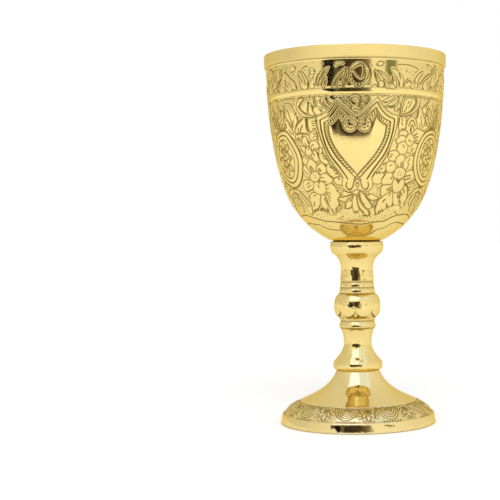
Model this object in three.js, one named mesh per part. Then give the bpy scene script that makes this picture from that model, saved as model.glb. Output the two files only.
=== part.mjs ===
// A brass wine goblet: a spun bowl on a cast baluster stem and a flared foot,
// drawn together by a flanged stud that runs down through the stem to a nut under the foot.
// Millimetres, +Z up, the origin on the table at the goblet's axis.
import * as THREE from "three";

// Foot: a spun shell with a plain edge, a rounded shoulder and a hollow flare up to the stem
const footHeight = 21.8;
const footRimRadius = 32.3;
const footEdgeHeight = 4.8;
const footEdgeDraft = 1.5;
const footEdgeBreak = 0.7;
const footShoulderRun = 7.6;
const footShoulderRise = 5.1;
const footWall = 1.5;
const footRestWidth = 2.4;
const footPadThickness = 2.4;

// Stem: its turnings from the foot up, each with a height and the radius that shows
const stemSeatRadius = 8.8;
const heelChamfer = 1.9;
const heelRadius = 10.35;
const heelHeight = 1.4;
const lowerCoveHeight = 8.5;
const lowerWaistRadius = 5.8;
const lowerRiseHeight = 5.8;
const lowerBeadRadius = 7.65;
const lowerBeadHeight = 3;
const knopNeckRadius = 7.4;
const knopRadius = 9.75;
const knopHeight = 11.4;
const knopBellyHeight = 6.2;
const ringBeadRadius = 7.5;
const ringBeadHeight = 2.4;
const ringBeadCount = 2;
const upperShankFootRadius = 7.1;
const upperShankRadius = 6.85;
const upperShankHeight = 5.25;
const upperCoveHeight = 6.75;
const collarRadius = 11.15;
const collarHeight = 5.3;
const collarSeatRadius = 10.8;
const turnedGroove = 0.35;

// Lotus petals round the knop: rounded tips below, a crease where two meet
const petalCount = 8;
const petalStep = 0.55;
const petalTipHeight = 0.9;
const petalTipRise = 3.2;
const petalEdgeBlend = 0.7;
const petalCrease = 0.5;
const petalCreaseShare = 0.3;

// Bowl: an egg-shaped shell, a raised ring under a plain frieze, and a thick lip
const bowlHeight = 76.5;
const bowlFloor = 1.8;
const bowlWall = 1.4;
const bellyHeight = 28.7;
const bellyInset = 4.5;
const ringHeight = 2.8;
const ringStep = 0.25;
const friezeHeight = 12.5;
const friezeTaper = 1;
const lipRadius = 38;
const lipStep = 0.5;
const lipHeight = 4.1;
const lipRound = 0.5;

// Clamp: stud, washer and nut
const studRadius = 3;
const studFlangeRadius = 7;
const studFlangeThickness = 1.6;
const studEndChamfer = 0.5;
const studEndShow = 1.6;
const washerRadius = 6;
const washerThickness = 1.6;
const nutAcrossFlats = 10;
const nutThickness = 5;
const nutBevel = 0.4;
const nutSides = 6;

// Clearances and seats between the pieces
const boreClearance = 0.3;
const flangeClearance = 0.3;
const threadClearance = 0.12;
const washerClearance = 0.2;
const spigotWall = 1.1;
const spigotClearance = 0.2;
const spigotRecess = 0.8;
const footSeatReveal = 0.2;
const bowlSeatReveal = 0.4;

// Curve handles: shares of a curve's run and rise, first from its start, then back from its end
const handles = {
  footShoulder: [0.2, 0.39, 0.45, 0.31],
  footFlare: [0.42, 0.23, 0.16, 0.56],
  lowerCove: [0.46, 0.33, 0, 0.5],
  lowerRise: [0, 0.37, 0.67, 0.3],
  knopLower: [0.67, 0.2, 0, 0.45],
  knopUpper: [0, 0.5, 0.67, 0.15],
  upperCove: [0, 0.59, 0.62, 0.27],
  bowlLower: [0.65, 0.245, 0.15, 0.4],
  bowlUpper: [0.54, 0.33, 0.11, 0.28],
};

// Facets round each piece, and steps along each kind of curve
const bowlFacets = 56;
const stemFacets = 64;
const footFacets = 48;
const clampFacets = 24;
const wallSteps = 7;
const curveSteps = 5;
const beadSteps = 3;

// Sizes that follow from those above
const footNeckRadius = stemSeatRadius + footSeatReveal;
const footEdgeTopRadius = footRimRadius - footEdgeDraft;
const footShoulderRadius = footEdgeTopRadius - footShoulderRun;
const footShoulderHeight = footEdgeHeight + footShoulderRise;
const heelTop = heelChamfer + heelHeight;
const lowerWaistAt = heelTop + lowerCoveHeight;
const lowerBeadBase = lowerWaistAt + lowerRiseHeight;
const knopBase = lowerBeadBase + lowerBeadHeight;
const knopTop = knopBase + knopHeight;
const upperShankBase = knopTop + ringBeadCount * ringBeadHeight;
const upperCoveBase = upperShankBase + upperShankHeight;
const collarBase = upperCoveBase + upperCoveHeight;
const stemHeight = collarBase + collarHeight;
const bowlSeat = footHeight + stemHeight;
const bowlSeatRadius = collarSeatRadius + bowlSeatReveal;
const lipBase = bowlHeight - lipHeight;
const ringTop = lipBase - friezeHeight;
const ringBase = ringTop - ringHeight;
const lipWallRadius = lipRadius - lipStep;
const ringWallRadius = lipWallRadius - friezeTaper;
const bellyRadius = ringWallRadius - bellyInset;
const boreRadius = studRadius + boreClearance;
const flangePocketRadius = studFlangeRadius + flangeClearance;
const flangePocketDepth = studFlangeThickness + flangeClearance;
const spigotRadius = boreRadius + spigotWall;
const spigotLength = footPadThickness - spigotRecess;
const padHoleRadius = spigotRadius + spigotClearance;
const padUnderside = footHeight - footPadThickness;
const nutBase = padUnderside - washerThickness - nutThickness;
const studLength = bowlSeat - nutBase + studEndShow;

const polishedBrass = { color: 0xe3c163, roughness: 0.16, metalness: 1 };
const castBrass = { color: 0xdcb558, roughness: 0.22, metalness: 1 };
const platedSteel = { color: 0xb9bbbd, roughness: 0.35, metalness: 1 };

const at = (radius, height) => new THREE.Vector2(radius, height);

// Carries a turned outline on to a new radius and height along a curve with the given handles
function sweepTo(outline, radius, height, handle, steps) {
  const from = outline[outline.length - 1];
  const run = radius - from.x;
  const rise = height - from.y;
  const [startRun, startRise, endRun, endRise] = handle;
  const curve = new THREE.CubicBezierCurve(
    from,
    at(from.x + run * startRun, from.y + rise * startRise),
    at(radius - run * endRun, height - rise * endRise),
    at(radius, height),
  );
  outline.push(...curve.getPoints(steps).slice(1));
}

// Carries a turned outline round a corner to a new radius and height
function roundTo(outline, corner, radius, height, steps) {
  const from = outline[outline.length - 1];
  const curve = new THREE.QuadraticBezierCurve(from, corner, at(radius, height));
  outline.push(...curve.getPoints(steps).slice(1));
}

// Carries a turned outline over a bead that swells to its peak radius half way
function beadTo(outline, peak, radius, height, steps) {
  const from = outline[outline.length - 1];
  const swell = at(2 * peak - (from.x + radius) / 2, (from.y + height) / 2);
  roundTo(outline, swell, radius, height, steps);
}

// The same line moved to its left by a wall's thickness
function wallInside(outline, wall) {
  return outline.map((point, index) => {
    const before = outline[Math.max(index - 1, 0)];
    const after = outline[Math.min(index + 1, outline.length - 1)];
    const along = after.clone().sub(before).normalize();
    return at(point.x - along.y * wall, point.y + along.x * wall);
  });
}

// Turns a profile of radii and heights round the Z axis
function turned(profile, facets) {
  const geometry = new THREE.LatheGeometry(profile, facets);
  geometry.rotateX(Math.PI / 2);
  return geometry;
}

function footGeometry() {
  const outer = [at(footRimRadius, footEdgeBreak)];
  const edgeCorner = at(footRimRadius, footEdgeHeight / 2);
  roundTo(outer, edgeCorner, footEdgeTopRadius, footEdgeHeight, beadSteps);
  sweepTo(outer, footShoulderRadius, footShoulderHeight, handles.footShoulder, curveSteps);
  sweepTo(outer, footNeckRadius, footHeight, handles.footFlare, wallSteps);
  const restOuter = footRimRadius - footEdgeBreak;
  const restInner = restOuter - footRestWidth;
  const hollowTop = padUnderside - footWall / 2;
  const hollow = wallInside(outer, footWall).filter(
    (point) => point.x < restInner && point.y > 0 && point.y < hollowTop,
  );
  const padRadius = hollow[hollow.length - 1].x - footWall / 2;
  const profile = [
    at(restInner, 0),
    at(restOuter, 0),
    ...outer,
    at(padHoleRadius, footHeight),
    at(padHoleRadius, padUnderside),
    at(padRadius, padUnderside),
    ...hollow.reverse(),
    at(restInner, 0),
  ];
  return turned(profile, footFacets);
}

// The turned outline of the stem, from its seat on the foot to its seat for the bowl
function stemOutline() {
  const outline = [at(stemSeatRadius, 0), at(heelRadius - turnedGroove, heelChamfer)];
  beadTo(outline, heelRadius, heelRadius - turnedGroove / 2, heelTop, beadSteps);
  sweepTo(outline, lowerWaistRadius, lowerWaistAt, handles.lowerCove, curveSteps);
  sweepTo(outline, lowerBeadRadius - turnedGroove, lowerBeadBase, handles.lowerRise, curveSteps);
  beadTo(outline, lowerBeadRadius, knopNeckRadius, knopBase, beadSteps);
  sweepTo(outline, knopRadius, knopBase + knopBellyHeight, handles.knopLower, curveSteps);
  sweepTo(outline, knopNeckRadius, knopTop, handles.knopUpper, curveSteps);
  for (let bead = 1; bead <= ringBeadCount; bead++) {
    const peak = ringBeadRadius - turnedGroove * (bead - 1);
    beadTo(outline, peak, peak - turnedGroove, knopTop + bead * ringBeadHeight, beadSteps);
  }
  outline.push(at(upperShankFootRadius, upperShankBase + turnedGroove));
  outline.push(at(upperShankRadius, upperCoveBase));
  sweepTo(outline, collarSeatRadius - turnedGroove, collarBase, handles.upperCove, curveSteps);
  beadTo(outline, collarRadius, collarSeatRadius, stemHeight, curveSteps);
  return outline;
}

// How far the knop's surface sinks at an angle and a height: below the petals' rounded tips
// it drops to the core, and between two petals it runs into a crease that dies out upwards
function petalSink(angle, height) {
  const smooth = THREE.MathUtils.smoothstep;
  const turn = (angle / (2 * Math.PI)) * petalCount;
  const across = 2 * Math.abs(turn - Math.floor(turn) - 0.5);
  const tip = knopBase + petalTipHeight + petalTipRise * (1 - Math.sqrt(1 - across * across));
  const below = smooth(tip - height, 0, petalEdgeBlend);
  const nearCrease = smooth(across, 1 - petalCreaseShare, 1);
  const fade = smooth(knopTop - height, 0, knopHeight / 2);
  const open = smooth(height - knopBase, 0, petalTipHeight);
  return Math.max(petalStep * below, petalCrease * nearCrease * fade) * open;
}

function stemGeometry() {
  const pocketFloor = stemHeight - flangePocketDepth;
  const profile = [
    at(boreRadius, -spigotLength),
    at(spigotRadius, -spigotLength),
    at(spigotRadius, 0),
    ...stemOutline(),
    at(flangePocketRadius, stemHeight),
    at(flangePocketRadius, pocketFloor),
    at(boreRadius, pocketFloor),
    at(boreRadius, -spigotLength),
  ];
  const geometry = turned(profile, stemFacets);
  const place = geometry.getAttribute("position");
  for (let index = 0; index < place.count; index++) {
    const x = place.getX(index);
    const y = place.getY(index);
    const height = place.getZ(index);
    const radius = Math.hypot(x, y);
    const onKnop = height > knopBase && height < knopTop && radius > knopNeckRadius;
    if (onKnop) {
      const angle = Math.atan2(y, x) + Math.PI / 2;
      const share = 1 - petalSink(angle, height) / radius;
      place.setXY(index, x * share, y * share);
    }
  }
  geometry.computeVertexNormals();
  return geometry;
}

function bowlGeometry() {
  const wall = [at(bowlSeatRadius, 0)];
  sweepTo(wall, bellyRadius, bellyHeight, handles.bowlLower, wallSteps);
  sweepTo(wall, ringWallRadius, ringBase, handles.bowlUpper, curveSteps);
  const ringTopRadius = ringWallRadius + (friezeTaper * ringHeight) / (ringHeight + friezeHeight);
  const mouthRadius = lipWallRadius - bowlWall;
  const inside = wallInside(wall, bowlWall).filter((point) => point.y > bowlFloor + bowlWall / 4);
  const mouth = [at(lipRadius, bowlHeight - lipRound)];
  roundTo(mouth, at(lipRadius, bowlHeight), lipRadius - lipRound, bowlHeight, beadSteps);
  mouth.push(at(mouthRadius + lipRound, bowlHeight));
  roundTo(mouth, at(mouthRadius, bowlHeight), mouthRadius, bowlHeight - lipRound, beadSteps);
  const profile = [
    at(0, 0),
    ...wall,
    at(ringWallRadius + ringStep, ringBase + ringStep),
    at(ringTopRadius + ringStep, ringTop - ringStep),
    at(ringTopRadius, ringTop),
    at(lipWallRadius, lipBase),
    at(lipRadius, lipBase + lipStep / 2),
    ...mouth,
    ...inside.reverse(),
    at(inside[inside.length - 1].x - bowlFloor, bowlFloor),
    at(0, bowlFloor),
  ];
  return turned(profile, bowlFacets);
}

function studGeometry() {
  const profile = [
    at(0, -studLength),
    at(studRadius - studEndChamfer, -studLength),
    at(studRadius, studEndChamfer - studLength),
    at(studRadius, -studFlangeThickness),
    at(studFlangeRadius, -studFlangeThickness),
    at(studFlangeRadius, 0),
    at(0, 0),
  ];
  return turned(profile, clampFacets);
}

function washerGeometry() {
  const holeRadius = studRadius + washerClearance;
  const profile = [
    at(holeRadius, 0),
    at(washerRadius, 0),
    at(washerRadius, washerThickness),
    at(holeRadius, washerThickness),
    at(holeRadius, 0),
  ];
  return turned(profile, clampFacets);
}

// A hexagon nut with its edges and its bore broken on both faces
function nutGeometry() {
  const cornerRadius = nutAcrossFlats / 2 / Math.cos(Math.PI / nutSides);
  const outline = new THREE.Shape();
  for (let side = 0; side < nutSides; side++) {
    const angle = (side * 2 * Math.PI) / nutSides;
    const corner = at(cornerRadius * Math.cos(angle), cornerRadius * Math.sin(angle));
    if (side === 0) outline.moveTo(corner.x, corner.y);
    else outline.lineTo(corner.x, corner.y);
  }
  outline.closePath();
  const bore = new THREE.Path();
  bore.absarc(0, 0, studRadius + threadClearance, 0, 2 * Math.PI, true);
  outline.holes.push(bore);
  const geometry = new THREE.ExtrudeGeometry(outline, {
    depth: nutThickness - 2 * nutBevel,
    curveSegments: clampFacets / 2,
    bevelSize: nutBevel,
    bevelThickness: nutBevel,
    bevelOffset: -nutBevel,
    bevelSegments: 1,
  });
  geometry.translate(0, 0, nutBevel);
  return geometry;
}

function piece(name, geometry, finish, height) {
  const mesh = new THREE.Mesh(geometry, new THREE.MeshStandardMaterial(finish));
  mesh.name = name;
  mesh.position.z = height;
  return mesh;
}

const goblet = new THREE.Group();
goblet.add(
  piece("foot", footGeometry(), polishedBrass, 0),
  piece("stem", stemGeometry(), castBrass, footHeight),
  piece("bowl", bowlGeometry(), polishedBrass, bowlSeat),
  piece("tie_stud", studGeometry(), platedSteel, bowlSeat),
  piece("washer", washerGeometry(), platedSteel, padUnderside - washerThickness),
  piece("nut", nutGeometry(), platedSteel, nutBase),
);

export default goblet;
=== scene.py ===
import math

import bpy
import numpy as np
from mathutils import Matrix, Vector


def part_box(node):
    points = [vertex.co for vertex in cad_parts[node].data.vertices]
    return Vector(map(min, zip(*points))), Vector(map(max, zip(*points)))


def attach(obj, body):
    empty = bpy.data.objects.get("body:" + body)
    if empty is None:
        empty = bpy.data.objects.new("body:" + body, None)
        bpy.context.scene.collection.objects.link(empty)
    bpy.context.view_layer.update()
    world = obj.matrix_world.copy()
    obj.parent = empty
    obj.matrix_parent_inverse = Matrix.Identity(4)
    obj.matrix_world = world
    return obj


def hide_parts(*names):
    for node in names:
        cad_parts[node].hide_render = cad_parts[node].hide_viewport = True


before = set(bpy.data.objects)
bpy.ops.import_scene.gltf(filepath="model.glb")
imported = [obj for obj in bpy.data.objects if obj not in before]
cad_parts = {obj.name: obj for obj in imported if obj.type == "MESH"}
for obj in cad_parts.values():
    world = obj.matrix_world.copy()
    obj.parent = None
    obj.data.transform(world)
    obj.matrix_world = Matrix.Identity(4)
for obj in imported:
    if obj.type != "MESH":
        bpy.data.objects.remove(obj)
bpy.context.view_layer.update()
mm = 0.001
fullTurn = 2 * math.pi
seed = 7

seatHeights = {  # where the pieces meet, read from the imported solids
    "footTop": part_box("foot")[1].z / mm,
    "bowlSeat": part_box("bowl")[0].z / mm,
    "lipTop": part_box("bowl")[1].z / mm,
}
print("frame loaded:", sorted(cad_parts))


# Turned outlines: points of radius and height, in mm

def sweepTo(outline, radius, height, handle, steps):
    r0, h0 = outline[-1]
    run, rise = radius - r0, height - h0
    startRun, startRise, endRun, endRise = handle
    r1, h1 = r0 + run * startRun, h0 + rise * startRise
    r2, h2 = radius - run * endRun, height - rise * endRise
    for step in range(1, steps + 1):
        t = step / steps
        a, b, c, d = (1 - t) ** 3, 3 * t * (1 - t) ** 2, 3 * t * t * (1 - t), t ** 3
        outline.append((a * r0 + b * r1 + c * r2 + d * radius, a * h0 + b * h1 + c * h2 + d * height))


def roundTo(outline, corner, radius, height, steps):
    r0, h0 = outline[-1]
    for step in range(1, steps + 1):
        t = step / steps
        a, b, c = (1 - t) ** 2, 2 * t * (1 - t), t * t
        outline.append((a * r0 + b * corner[0] + c * radius, a * h0 + b * corner[1] + c * height))


def beadTo(outline, peak, radius, height, steps):
    r0, h0 = outline[-1]
    roundTo(outline, (2 * peak - (r0 + radius) / 2, (h0 + height) / 2), radius, height, steps)


def wayAlong(line):  # unit steps along a line
    along = np.gradient(line, axis=0)
    return along / np.linalg.norm(along, axis=1, keepdims=True)


def wallInside(outline, wall):  # the same line moved to its left by the wall
    line = np.array(outline)
    along = wayAlong(line)
    return line + np.column_stack([-along[:, 1], along[:, 0]]) * wall


def runAlong(line):
    return np.concatenate([[0], np.cumsum(np.linalg.norm(np.diff(line, axis=0), axis=1))])


def inSteps(line, steps):  # the line again, in this many even steps
    run = runAlong(line)
    places = np.linspace(0, run[-1], steps + 1)
    return np.column_stack([np.interp(places, run, line[:, 0]), np.interp(places, run, line[:, 1])])


def evenSteps(outline, spacing):  # the outline again, in even steps of about this length
    line = np.array(outline, float)
    return inSteps(line, max(1, int(round(runAlong(line)[-1] / spacing))))


def smooth(x, low, high):
    t = np.clip((x - low) / (high - low), 0, 1)
    return t * t * (3 - 2 * t)


# Meshes from rings of points round the axis, in mm; angle 0 faces -Y and grows towards +X

def turnsOf(columns):
    return np.arange(columns) * fullTurn / columns


def ringsAt(radius, height):  # from a radius and a height for each row and column
    turn = turnsOf(radius.shape[1])
    return np.stack([radius * np.sin(turn), -radius * np.cos(turn), height], axis=2)


def ringsOf(outline, columns):
    line = np.array(outline, float)
    return ringsAt(np.repeat(line[:, :1], columns, axis=1), np.repeat(line[:, 1:], columns, axis=1))


def ringMesh(name, rings, mask, loop, sharpRows):
    rows, columns = rings.shape[:2]
    onAxis = np.hypot(rings[:, 0, 0], rings[:, 0, 1]) < 1e-6
    firstOf = np.concatenate([[0], np.cumsum(np.where(onAxis, 1, columns))])
    keep = np.ones((rows, columns), bool)
    keep[onAxis, 1:] = False
    index = firstOf[:-1, None] + np.where(onAxis[:, None], 0, np.arange(columns))
    span = np.linalg.norm(np.diff(rings[:, 0], axis=0), axis=1)
    share = np.concatenate([[0], np.cumsum(span)]) / (span.sum() + (span.mean() if loop else 0))
    share = np.append(share, 1.0)
    j = np.arange(columns)
    k = (j + 1) % columns
    left, right = j / columns, (j + 1) / columns
    middle = (left + right) / 2
    corners, cornerUv, sides = [], [], []
    for i in range(rows if loop else rows - 1):
        up = (i + 1) % rows
        if onAxis[i] and onAxis[up]:
            continue
        low, high = np.full(columns, share[i]), np.full(columns, share[i + 1])
        if onAxis[i]:
            face = [index[i, j], index[up, k], index[up, j]]
            uv = [middle, low, right, high, left, high]
        elif onAxis[up]:
            face = [index[i, j], index[i, k], index[up, j]]
            uv = [left, low, right, low, middle, high]
        else:
            face = [index[i, j], index[i, k], index[up, k], index[up, j]]
            uv = [left, low, right, low, right, high, left, high]
        corners.append(np.column_stack(face).ravel())
        cornerUv.append(np.column_stack(uv).ravel())
        sides.append(np.full(columns, len(face)))
    sides = np.concatenate(sides)
    mesh = bpy.data.meshes.new(name)
    places = (rings[keep] * mm).astype(np.float32)
    mesh.vertices.add(len(places))
    mesh.vertices.foreach_set("co", places.ravel())
    mesh.loops.add(int(sides.sum()))
    mesh.loops.foreach_set("vertex_index", np.concatenate(corners).astype(np.int32))
    mesh.polygons.add(len(sides))
    starts = np.concatenate([[0], np.cumsum(sides)[:-1]])
    mesh.polygons.foreach_set("loop_start", starts.astype(np.int32))
    mesh.update(calc_edges=True)
    uvMap = mesh.uv_layers.new(name="OFBake")
    uvMap.data.foreach_set("uv", np.concatenate(cornerUv).astype(np.float32))
    lines = mesh.attributes.new("lineMask", "FLOAT", "POINT")
    lines.data.foreach_set("value", mask[keep].astype(np.float32))
    mesh.shade_smooth()
    mesh.validate()
    if len(sharpRows):
        ends = np.zeros(len(mesh.edges) * 2, np.int32)
        mesh.edges.foreach_get("vertices", ends)
        rowOf = np.searchsorted(firstOf, ends.reshape(-1, 2), side="right") - 1
        sharp = (rowOf[:, 0] == rowOf[:, 1]) & np.isin(rowOf[:, 0], sharpRows)
        mesh.attributes.new("sharp_edge", "BOOLEAN", "EDGE").data.foreach_set("value", sharp)
    piece = bpy.data.objects.new(name, mesh)
    bpy.context.scene.collection.objects.link(piece)
    return piece


def dress(name, node, finish, rings, mask=None, loop=False, sharpRows=()):  # a piece in a solid's place
    if mask is None:
        mask = np.zeros(rings.shape[:2])
    piece = ringMesh(name, rings, mask, loop, sharpRows)
    piece.data.materials.append(finishes[finish])
    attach(piece, "root")
    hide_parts(node)
    print("made", piece.name, len(piece.data.vertices), "points")


# Node groups shared by the finishes

def feed(tree, socket, value):  # a fixed value, or a link from another node
    if isinstance(value, (int, float, tuple)):
        socket.default_value = value
    else:
        tree.links.new(value, socket)


def nodeGroup(name, inputs, outputs):
    group = bpy.data.node_groups.new(name, "ShaderNodeTree")
    for label, value in inputs.items():
        kind = "NodeSocketColor" if isinstance(value, tuple) else "NodeSocketFloat"
        socket = group.interface.new_socket(name=label, in_out="INPUT", socket_type=kind)
        socket.default_value = value
    for label, kind in outputs.items():
        group.interface.new_socket(name=label, in_out="OUTPUT", socket_type=kind)
    return group, group.nodes.new("NodeGroupInput").outputs, group.nodes.new("NodeGroupOutput").inputs


def mathNode(tree, operation, *values, clamp=False):
    node = tree.nodes.new("ShaderNodeMath")
    node.operation = operation
    node.use_clamp = clamp
    for socket, value in zip(node.inputs, values):
        feed(tree, socket, value)
    return node.outputs[0]


def mixColour(tree, factor, a, b):
    node = tree.nodes.new("ShaderNodeMix")
    node.data_type = "RGBA"
    for socket, value in zip((node.inputs[0], node.inputs[6], node.inputs[7]), (factor, a, b)):
        feed(tree, socket, value)
    return node.outputs[2]


def noiseNode(tree, vector, scale, detail):
    node = tree.nodes.new("ShaderNodeTexNoise")
    for label, value in (("Vector", vector), ("Scale", scale), ("Detail", detail), ("Roughness", 0.55)):
        feed(tree, node.inputs[label], value)
    return node.outputs["Fac"]


def buildTarnishAndShadeGroup():  # polished metal with dark lines of patina and of painted shade, and a faint cloudy tarnish
    group, given, result = nodeGroup(
        "lineTarnishAndShade",
        {"Polished": (0.8, 0.6, 0.2, 1), "Tarnish And Shade": (0.2, 0.12, 0.03, 1), "Line Mask": 0.0,
         "Cloud Scale": 60.0, "Cloud Amount": 0.15},
        {"Color": "NodeSocketColor", "Dark": "NodeSocketFloat"})
    place = group.nodes.new("ShaderNodeTexCoord").outputs["Object"]
    cloud = noiseNode(group, place, given["Cloud Scale"], 4.0)
    patchy = mathNode(group, "MULTIPLY_ADD", cloud, 0.7, 0.65)
    dark = mathNode(group, "MULTIPLY", given["Line Mask"], patchy, clamp=True)
    thick = mathNode(group, "SUBTRACT", cloud, 0.42, clamp=True)
    haze = mathNode(group, "MULTIPLY", thick, given["Cloud Amount"])
    total = mathNode(group, "ADD", dark, haze, clamp=True)
    group.links.new(mixColour(group, total, given["Polished"], given["Tarnish And Shade"]), result["Color"])
    group.links.new(total, result["Dark"])
    return group


def buildGrainGroup():  # polishing hairlines and soft smears, as a roughness and a small height
    group, given, result = nodeGroup(
        "polishGrain",
        {"Base Roughness": 0.15, "Smear": 0.06, "Dark": 0.0, "Dark Roughness": 0.3},
        {"Roughness": "NodeSocketFloat", "Height": "NodeSocketFloat", "Waves": "NodeSocketFloat"})
    place = group.nodes.new("ShaderNodeTexCoord").outputs["Object"]
    stretch = group.nodes.new("ShaderNodeMapping")
    stretch.inputs["Scale"].default_value = (1, 1, 9)
    group.links.new(place, stretch.inputs["Vector"])
    uneven = mathNode(group, "SUBTRACT", noiseNode(group, place, 45.0, 3.0), 0.5)
    smears = mathNode(group, "MULTIPLY", uneven, given["Smear"])
    rough = mathNode(group, "ADD", given["Base Roughness"], smears)
    rough = mathNode(group, "MULTIPLY_ADD", given["Dark"], given["Dark Roughness"], rough, clamp=True)
    group.links.new(rough, result["Roughness"])
    group.links.new(noiseNode(group, stretch.outputs[0], 420.0, 3.0), result["Height"])
    group.links.new(noiseNode(group, place, 330.0, 1.5), result["Waves"])
    return group


tarnishAndShadeGroup = buildTarnishAndShadeGroup()
grainGroup = buildGrainGroup()


def placeGroup(tree, group, values):
    node = tree.nodes.new("ShaderNodeGroup")
    node.node_tree = group
    for label, value in values.items():
        feed(tree, node.inputs[label], value)
    return node.outputs


def metalFinish(name, look):
    material = bpy.data.materials.new(name)
    material.use_nodes = True
    tree = material.node_tree
    shader = tree.nodes["Principled BSDF"].inputs
    mask = tree.nodes.new("ShaderNodeAttribute")
    mask.attribute_name = "lineMask"
    colour = placeGroup(tree, tarnishAndShadeGroup, {
        "Polished": look["polished"], "Tarnish And Shade": look["tarnishAndShade"], "Line Mask": mask.outputs["Fac"],
        "Cloud Scale": look["cloudScale"], "Cloud Amount": look["cloudAmount"]})
    grain = placeGroup(tree, grainGroup, {
        "Base Roughness": look["roughness"], "Smear": look["smear"],
        "Dark": colour["Dark"], "Dark Roughness": look["darkRoughness"]})
    waves = tree.nodes.new("ShaderNodeBump")
    waves.inputs["Distance"].default_value = look["waveDepth"] * mm
    tree.links.new(grain["Waves"], waves.inputs["Height"])
    bump = tree.nodes.new("ShaderNodeBump")
    bump.inputs["Strength"].default_value = look["bumpStrength"]
    bump.inputs["Distance"].default_value = look["bumpDepth"] * mm
    tree.links.new(waves.outputs["Normal"], bump.inputs["Normal"])
    tree.links.new(grain["Height"], bump.inputs["Height"])
    tree.links.new(bump.outputs["Normal"], shader["Normal"])
    tree.links.new(colour["Color"], shader["Base Color"])
    tree.links.new(grain["Roughness"], shader["Roughness"])
    shader["Metallic"].default_value = 1.0
    shader["Specular Tint"].default_value = look["edgeTint"]
    return material


# the dark colour darkens both the patina in chased lines and the painted shade in seams and grooves
brassLook = {
    "tarnishAndShade": (0.19, 0.115, 0.018, 1), "edgeTint": (0.86, 0.72, 0.4, 1), "cloudAmount": 0.12,
    "smear": 0.08, "darkRoughness": 0.35, "bumpStrength": 0.12, "bumpDepth": 0.02,
}
looks = {
    "chasedBrass": {**brassLook, "polished": (0.825, 0.645, 0.24, 1), "cloudScale": 55.0, "roughness": 0.085,
                    "waveDepth": 0.012},
    "castBrass": {**brassLook, "polished": (0.82, 0.635, 0.24, 1), "tarnishAndShade": (0.2, 0.12, 0.02, 1),
                  "cloudScale": 90.0, "cloudAmount": 0.16, "roughness": 0.1, "smear": 0.1,
                  "darkRoughness": 0.3, "waveDepth": 0.3, "bumpStrength": 0.2, "bumpDepth": 0.03},
    "spunBrass": {**brassLook, "polished": (0.82, 0.645, 0.275, 1), "cloudScale": 40.0, "roughness": 0.09,
                  "waveDepth": 0.1},
    "zincSteel": {"polished": (0.55, 0.56, 0.57, 1), "tarnishAndShade": (0.12, 0.11, 0.1, 1),
                  "edgeTint": (0.8, 0.8, 0.8, 1), "cloudScale": 160.0, "cloudAmount": 0.5, "roughness": 0.32,
                  "smear": 0.16, "darkRoughness": 0.3, "waveDepth": 0.1, "bumpStrength": 0.3,
                  "bumpDepth": 0.03},
}
finishes = {name: metalFinish(name, look) for name, look in looks.items()}
print("finishes made:", *finishes)


# Chasing: a drawing in mm on the unrolled wall, s round the wall from a motif's axis and v up along it

chasing = {
    "lineWidth": 0.62, "lineDepth": 0.16, "thinWidth": 0.48, "thinDepth": 0.1, "outlineDark": 0.85,
    "padRise": 0.19, "padEdge": 0.6, "leafNotch": 0.2, "groundDepth": 0.1, "groundDark": 0.05,
    "dotSpacing": 0.95, "dotRadius": 0.25, "dotDepth": 0.12, "dotDark": 0.75,
    "plateRise": 0.17, "plateLine": 0.58, "strokeDepth": 0.17, "strokeDark": 0.95,
    "pitRadius": 0.3, "pitDepth": 0.16, "pitDark": 0.9,
}


def curveThrough(points, steps=6, closed=False):
    given = np.array(points, float)
    if closed:
        given = np.vstack([given[-1], given, given[:2]])
    else:
        given = np.vstack([2 * given[0] - given[1], given, 2 * given[-1] - given[-2]])
    t = np.linspace(0, 1, steps, endpoint=False)[:, None]
    drawn = []
    for a, b, c, d in zip(given[:-3], given[1:-2], given[2:-1], given[3:]):
        drawn.append(0.5 * (2 * b + (c - a) * t + (2 * a - 5 * b + 4 * c - d) * t ** 2
                            + (3 * b - a - 3 * c + d) * t ** 3))
    drawn.append(given[-2][None])
    return np.vstack(drawn)


def turnedBy(points, degrees, shift=(0, 0)):
    a = math.radians(degrees)
    p = np.array(points, float)
    return np.column_stack([p[:, 0] * math.cos(a) - p[:, 1] * math.sin(a) + shift[0],
                            p[:, 0] * math.sin(a) + p[:, 1] * math.cos(a) + shift[1]])


def arc(centre, radius, fromDegrees, toDegrees, steps):
    a = np.radians(np.linspace(fromDegrees, toDegrees, steps))
    return np.column_stack([centre[0] + radius * np.cos(a), centre[1] + radius * np.sin(a)])


def oval(centre, halfWidth, halfHeight, steps):
    a = np.linspace(0, fullTurn, steps)[:-1]
    return np.column_stack([centre[0] + halfWidth * np.sin(a), centre[1] - halfHeight * np.cos(a)])


def closed(line):
    return np.vstack([line, line[:1]])


def distanceTo(s, v, line):
    best = np.full(s.shape, 1e9)
    for (s0, v0), (s1, v1) in zip(line[:-1], line[1:]):
        ds, dv = s1 - s0, v1 - v0
        t = np.clip(((s - s0) * ds + (v - v0) * dv) / (ds * ds + dv * dv + 1e-12), 0, 1)
        best = np.minimum(best, (s - s0 - t * ds) ** 2 + (v - v0 - t * dv) ** 2)
    return np.sqrt(best)


def insideOf(s, v, line):
    inside = np.zeros(s.shape, bool)
    for (s0, v0), (s1, v1) in zip(line[:-1], line[1:]):
        if v0 == v1:
            continue
        crosses = (v0 > v) != (v1 > v)
        inside ^= crosses & (s < (s1 - s0) * (v - v0) / (v1 - v0) + s0)
    return inside


def at(turn, height=None, spin=0.0, flip=1):  # a motif's place on the wall
    return turn, height, spin, flip


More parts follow.
